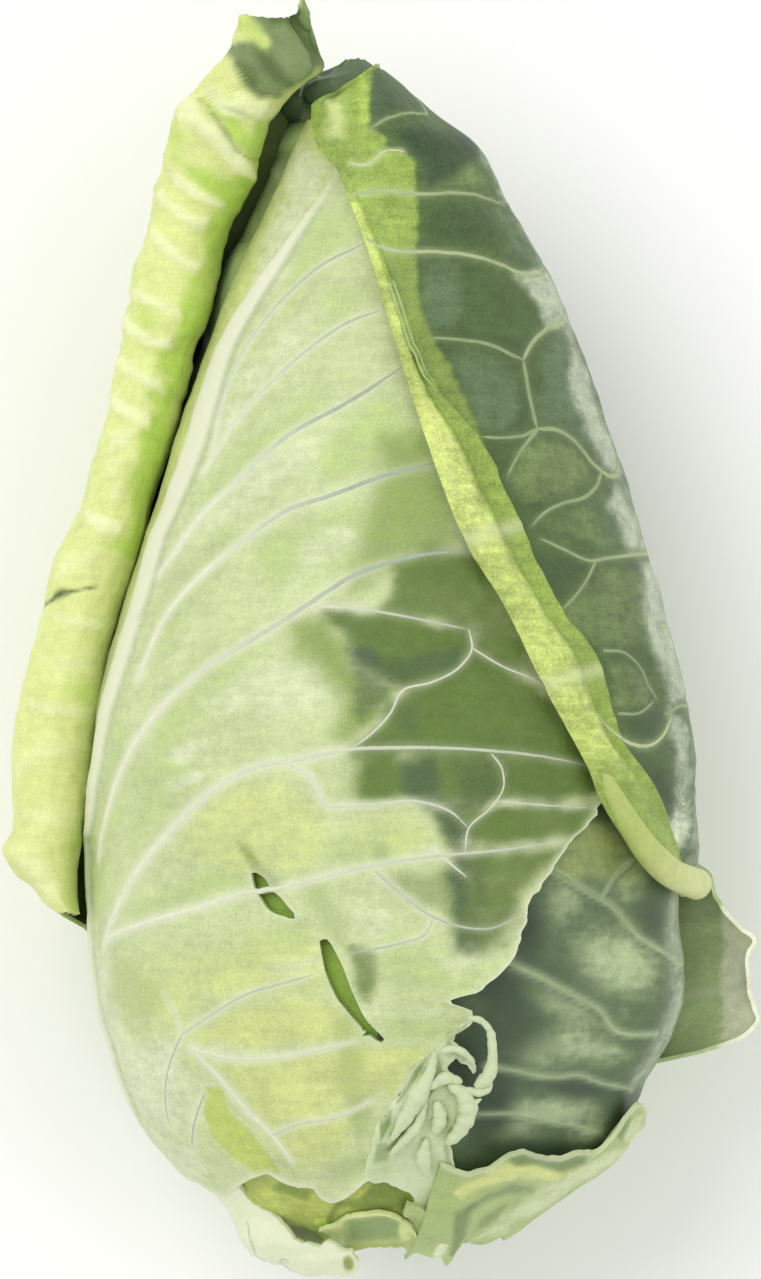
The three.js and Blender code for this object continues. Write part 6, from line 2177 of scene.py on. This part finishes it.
# %% Heart
HEART_DEPTH = 3 * WRAP_STEP
heart_turns = np.arange(0, 360, 4.0)
heart_heights = np.arange(13.5, 247, 3.0)
heart_profile = [(0.5, 18), (16.6, 18), (16.6, 12.8), (18, 12.4), (21.5, 12.5)]
heart_profile += [(float(skin_radius(h)) - HEART_DEPTH, h) for h in heart_heights]
heart_waves = np.zeros((len(heart_profile), len(heart_turns)))
heart_rows = np.array([h for _, h in heart_profile])[:, None]
heart_waves[5:] = (0.5 * cloudy(heart_turns[None, :] / 18, heart_rows / 18, 261))[5:]
heart_rings = turned(heart_profile, heart_turns, HEART_DEPTH, heart_waves)
heart_finish = leaf_finish("heart_green", (0.36, 0.46, 0.17), [
    ("deep", (0.13, 0.21, 0.055), 0.4)], drift=0.2)
heart_marks = {"deep": 0.75 + 0.3 * cloudy(heart_turns[None, :] / 20, heart_rows / 12, 263)
               - 0.7 * (1 - ease(heart_rows, 13, 26))}
heart_piece = closed_body("heart_bud", heart_rings, heart_finish, heart_marks)
finished(heart_piece, "heart_leaf", "heart")
print("heart", len(heart_piece.data.polygons), "faces")

# %% [markdown]
# The stalk was cut through with a knife. The cut has dried to pale tan, and its skin is
# ribbed where leaves have been taken off. A profile turned round the axis gives both, and
# seeded swellings keep it from looking made on a lathe.

# %% Stalk
stalk_turns = np.arange(0, 360, 5.0)
STALK_PROFILE = [
    (0.5, 9.4), (3, 9.3), (6, 9.0), (8.5, 8.85), (10.5, 8.9), (12.3, 8.65), (13.6, 8.5),
    (14.5, 9.0),
    (15.0, 10), (15.1, 11.5), (15.3, 13.5), (15.6, 15.5), (15.7, 17.6), (8, 17.7), (0.5, 17.7),
]
stalk_ribs = 0.3 * np.sin(np.radians(stalk_turns * 9)) + 0.3 * wander(stalk_turns / 20, 0, 271)
stalk_rows = np.array([h for _, h in STALK_PROFILE])[:, None]
stalk_reach = np.array([r for r, _ in STALK_PROFILE])[:, None]
stalk_swell = stalk_ribs[None, :] * ease(stalk_reach, 9, 14) - 0.1
stalk_rings = turned(STALK_PROFILE, stalk_turns, HEART_DEPTH, stalk_swell)
stalk_rings[..., 1] += 0.25 * wander(stalk_turns / 30, stalk_reach / 3, 273) * (stalk_rows < 9.6)
on_cut = (np.arange(len(STALK_PROFILE)) < 7)[:, None] * np.ones((1, len(stalk_turns)))
dry = on_cut * (0.45 + 0.5 * wander(stalk_turns[None, :] / 25, stalk_reach / 2.5, 275))
dry = np.maximum(dry, bell(stalk_reach - 13.6, 0.9) * on_cut)
stalk_finish = leaf_finish("stalk_cut", (0.62, 0.67, 0.42), [
    ("cut", (0.74, 0.72, 0.50), 0.3), ("dry", (0.42, 0.31, 0.15), 0.45)], drift=0.18, bump=0.5)
stalk_piece = closed_body("cut_stalk", stalk_rings, stalk_finish, {"cut": on_cut, "dry": dry})
finished(stalk_piece, "cut_stalk", "stalk")
print("stalk", len(stalk_piece.data.polygons), "faces")

# %% [markdown]
# The strands that carried the sap end in a ring of small dots on the cut. One tree sets a
# dot on every point of a circle and varies its size, which is quicker than placing each.

# %% Strands in the cut
def strand_tree():
    """Geometry Nodes that set a small dot on every point of a circle."""
    board, (circle, size, finish) = new_tree("sap_strands", "Dot Radius", "NodeSocketFloat")
    dot = board.node("GeometryNodeMeshUVSphere", None, {"Segments": 10, "Rings": 6, "Radius": size})
    scale = board.node("FunctionNodeRandomValue", {"data_type": "FLOAT_VECTOR"}, {
        0: (0.85, 0.5, 0.85), 1: (1.15, 0.6, 1.15), "Seed": 4})
    dots = board.node("GeometryNodeInstanceOnPoints", None, {
        "Points": circle, "Instance": dot, "Scale": scale})
    real = board.node("GeometryNodeRealizeInstances", None, {"Geometry": dots})
    smooth = board.node("GeometryNodeSetShadeSmooth", None, {"Geometry": real})
    return hand_out(smooth, finish)


STRAND_RADIUS = 0.85
strand_angles = np.radians(np.arange(0, 360, 11.25))
strand_ring = 10.2 + 0.5 * wander(np.degrees(strand_angles) / 24, 0, 281)
strand_points = np.stack([strand_ring * np.sin(strand_angles), np.full(len(strand_angles), 8.5),
                          AXIS_Z + ROUNDNESS * strand_ring * np.cos(strand_angles)], axis=1)
strand_mesh = bpy.data.meshes.new("strand_points")
strand_mesh.from_pydata(in_metres(strand_points).tolist(), [], [])
strand_finish = cream_finish("sap_strand", (0.60, 0.56, 0.33), (0.48, 0.43, 0.23))
strand_piece = grown("stalk_strands", strand_mesh, strand_tree(), STRAND_RADIUS * MM, strand_finish)
finished(strand_piece, "cut_stalk")
print(len(strand_angles), "strands on the cut")

# %% [markdown]
# From the stalk thick pale leaf stems fan out under the leaves and carry them. Between
# them are the short stubs of outer leaves that were broken off.

# %% Leaf stems round the stalk
stem_paths = []
for k, turn in enumerate((12, 52, 95, 137, 172, 205, 246, 290, 330)):
    lean = 6 * (-1) ** k
    route = [(14.2, 12.0, turn), (18, 11.6, turn + lean * 0.3), (22, 12.6, turn + lean * 0.6),
             (26.5, 15.5, turn + lean), (30.5, 20.5, turn + lean * 1.3), (34.5, 27, turn + lean * 1.5)]
    route = smooth_path(route, 1.0)
    depth = skin_radius(route[:, 1]) - route[:, 0]
    spots = on_head(route[:, 2], route[:, 1], np.maximum(depth, 6.6))
    radial = np.radians(route[:, 2])
    inner = route[:, 0] < skin_radius(route[:, 1]) - 6.6
    spots[inner, 0] = route[inner, 0] * np.sin(radial[inner])
    spots[inner, 2] = np.maximum(AXIS_Z + ROUNDNESS * route[inner, 0] * np.cos(radial[inner]), 9)
    share = np.linspace(0, 1, len(route))
    girth = through([(0, 2.4), (0.25, 3.4), (0.6, 2.7), (1, 1.3)], share)
    stem_paths.append({"spots": spots, "girth": girth, "slate": 0.15 + 0.35 * share})
for k, turn in enumerate((32, 74, 116, 156, 190, 226, 268, 310, 352)):
    reach = 19.5 + 2.0 * math.sin(turn)
    route = smooth_path([(13.8, 11.0, turn), (16.6, 10.4, turn + 2), (reach, 10.9, turn + 3)], 0.8)
    radial = np.radians(route[:, 2])
    spots = np.stack([route[:, 0] * np.sin(radial), route[:, 1],
                      AXIS_Z + ROUNDNESS * route[:, 0] * np.cos(radial)], axis=1)
    share = np.linspace(0, 1, len(route))
    stem_paths.append({"spots": spots, "girth": 2.1 - 0.5 * share, "slate": 0.5 * share})
stem_finish = cream_finish("stem_cream", (0.68, 0.72, 0.50), (0.48, 0.56, 0.30), drift=0.2)
finished(swept("leaf_stems", stem_paths, stem_finish, 14), "cut_stalk")

# %% [markdown]
# The cabbage lies on a plain pale floor and is seen straight from above. The floor is only
# a stage for it, and is marked as one, so it isn't part of the model.

# %% Floor
scene = bpy.context.scene
scene.view_settings.view_transform = "Standard"
floor_mesh = bpy.data.meshes.new("floor")
FLOOR_HALF = 6.0
floor_mesh.from_pydata([(-FLOOR_HALF, -FLOOR_HALF, 0), (FLOOR_HALF, -FLOOR_HALF, 0),
                        (FLOOR_HALF, FLOOR_HALF, 0), (-FLOOR_HALF, FLOOR_HALF, 0)], [], [(0, 1, 2, 3)])
floor_finish = bpy.data.materials.new("floor_white")
floor_finish.use_nodes = True
floor_shader = floor_finish.node_tree.nodes["Principled BSDF"]
floor_shader.inputs["Base Color"].default_value = (0.95, 0.95, 0.945, 1)
floor_shader.inputs["Roughness"].default_value = 0.9
floor_shader.inputs["Specular IOR Level"].default_value = 0.0
floor = new_object("floor", floor_mesh, floor_finish)
floor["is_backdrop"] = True
print("the floor is", 2 * FLOOR_HALF, "m wide")

# %% [markdown]
# A white sky fills the shadows. One large soft lamp from the upper left gives the head its
# roundness, and a weaker one from the right keeps the other side open.

# %% Sky and lamps
world = bpy.data.worlds.new("studio")
scene.world = world
world.use_nodes = True
AMBIENT = 0.8
world.node_tree.nodes["Background"].inputs["Color"].default_value = (1, 1, 1, 1)
world.node_tree.nodes["Background"].inputs["Strength"].default_value = AMBIENT
LIGHTS = [  # name, strength, how soft in degrees, colour, which way it shines
    ("soft_key", 1.1, 38, (1.0, 0.985, 0.95), (0.5, -0.45, -1.0)),
    ("soft_fill", 0.4, 70, (1.0, 1.0, 0.98), (-1.0, 0.1, -0.7)),
]
for name, strength, softness, tint, heading in LIGHTS:
    light_data = bpy.data.lights.new(name, "SUN")
    light_data.energy = strength
    light_data.angle = math.radians(softness)
    light_data.color = tint
    light = bpy.data.objects.new(name, light_data)
    light.rotation_mode = "QUATERNION"
    light.rotation_quaternion = Vector(heading).to_track_quat("-Z", "Y")
    scene.collection.objects.link(light)
print("lamps", [name for name, *_ in LIGHTS])

# %% [markdown]
# The camera stands far off with a long lens, so that the sides do not lean.

# %% Camera
CAMERA_HEIGHT = 5.0
FRAME_HEIGHT = 0.2686  # how much of the length the camera sees at the axis
camera_data = bpy.data.cameras.new("camera")
camera_data.type = "PERSP"
camera_data.sensor_width = 36
axis_z = AXIS_Z * MM
camera_data.lens = 36 * (CAMERA_HEIGHT - axis_z) / FRAME_HEIGHT
camera_data.clip_end = 50
camera = bpy.data.objects.new("camera", camera_data)
scene.collection.objects.link(camera)
MIDDLE = in_metres((-0.95, 133.9, 0))
camera.location = (MIDDLE[0], MIDDLE[1], CAMERA_HEIGHT)
scene.camera = camera
print("lens", round(camera_data.lens), "mm")

# %% Sizes and finish
low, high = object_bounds()
triangles = {o.name: sum(len(p.vertices) - 2 for p in o.data.polygons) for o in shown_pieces()}
print("triangles", triangles, "in all", sum(triangles.values()))
print("visual box", [round(v, 4) for v in low], [round(v, 4) for v in high])
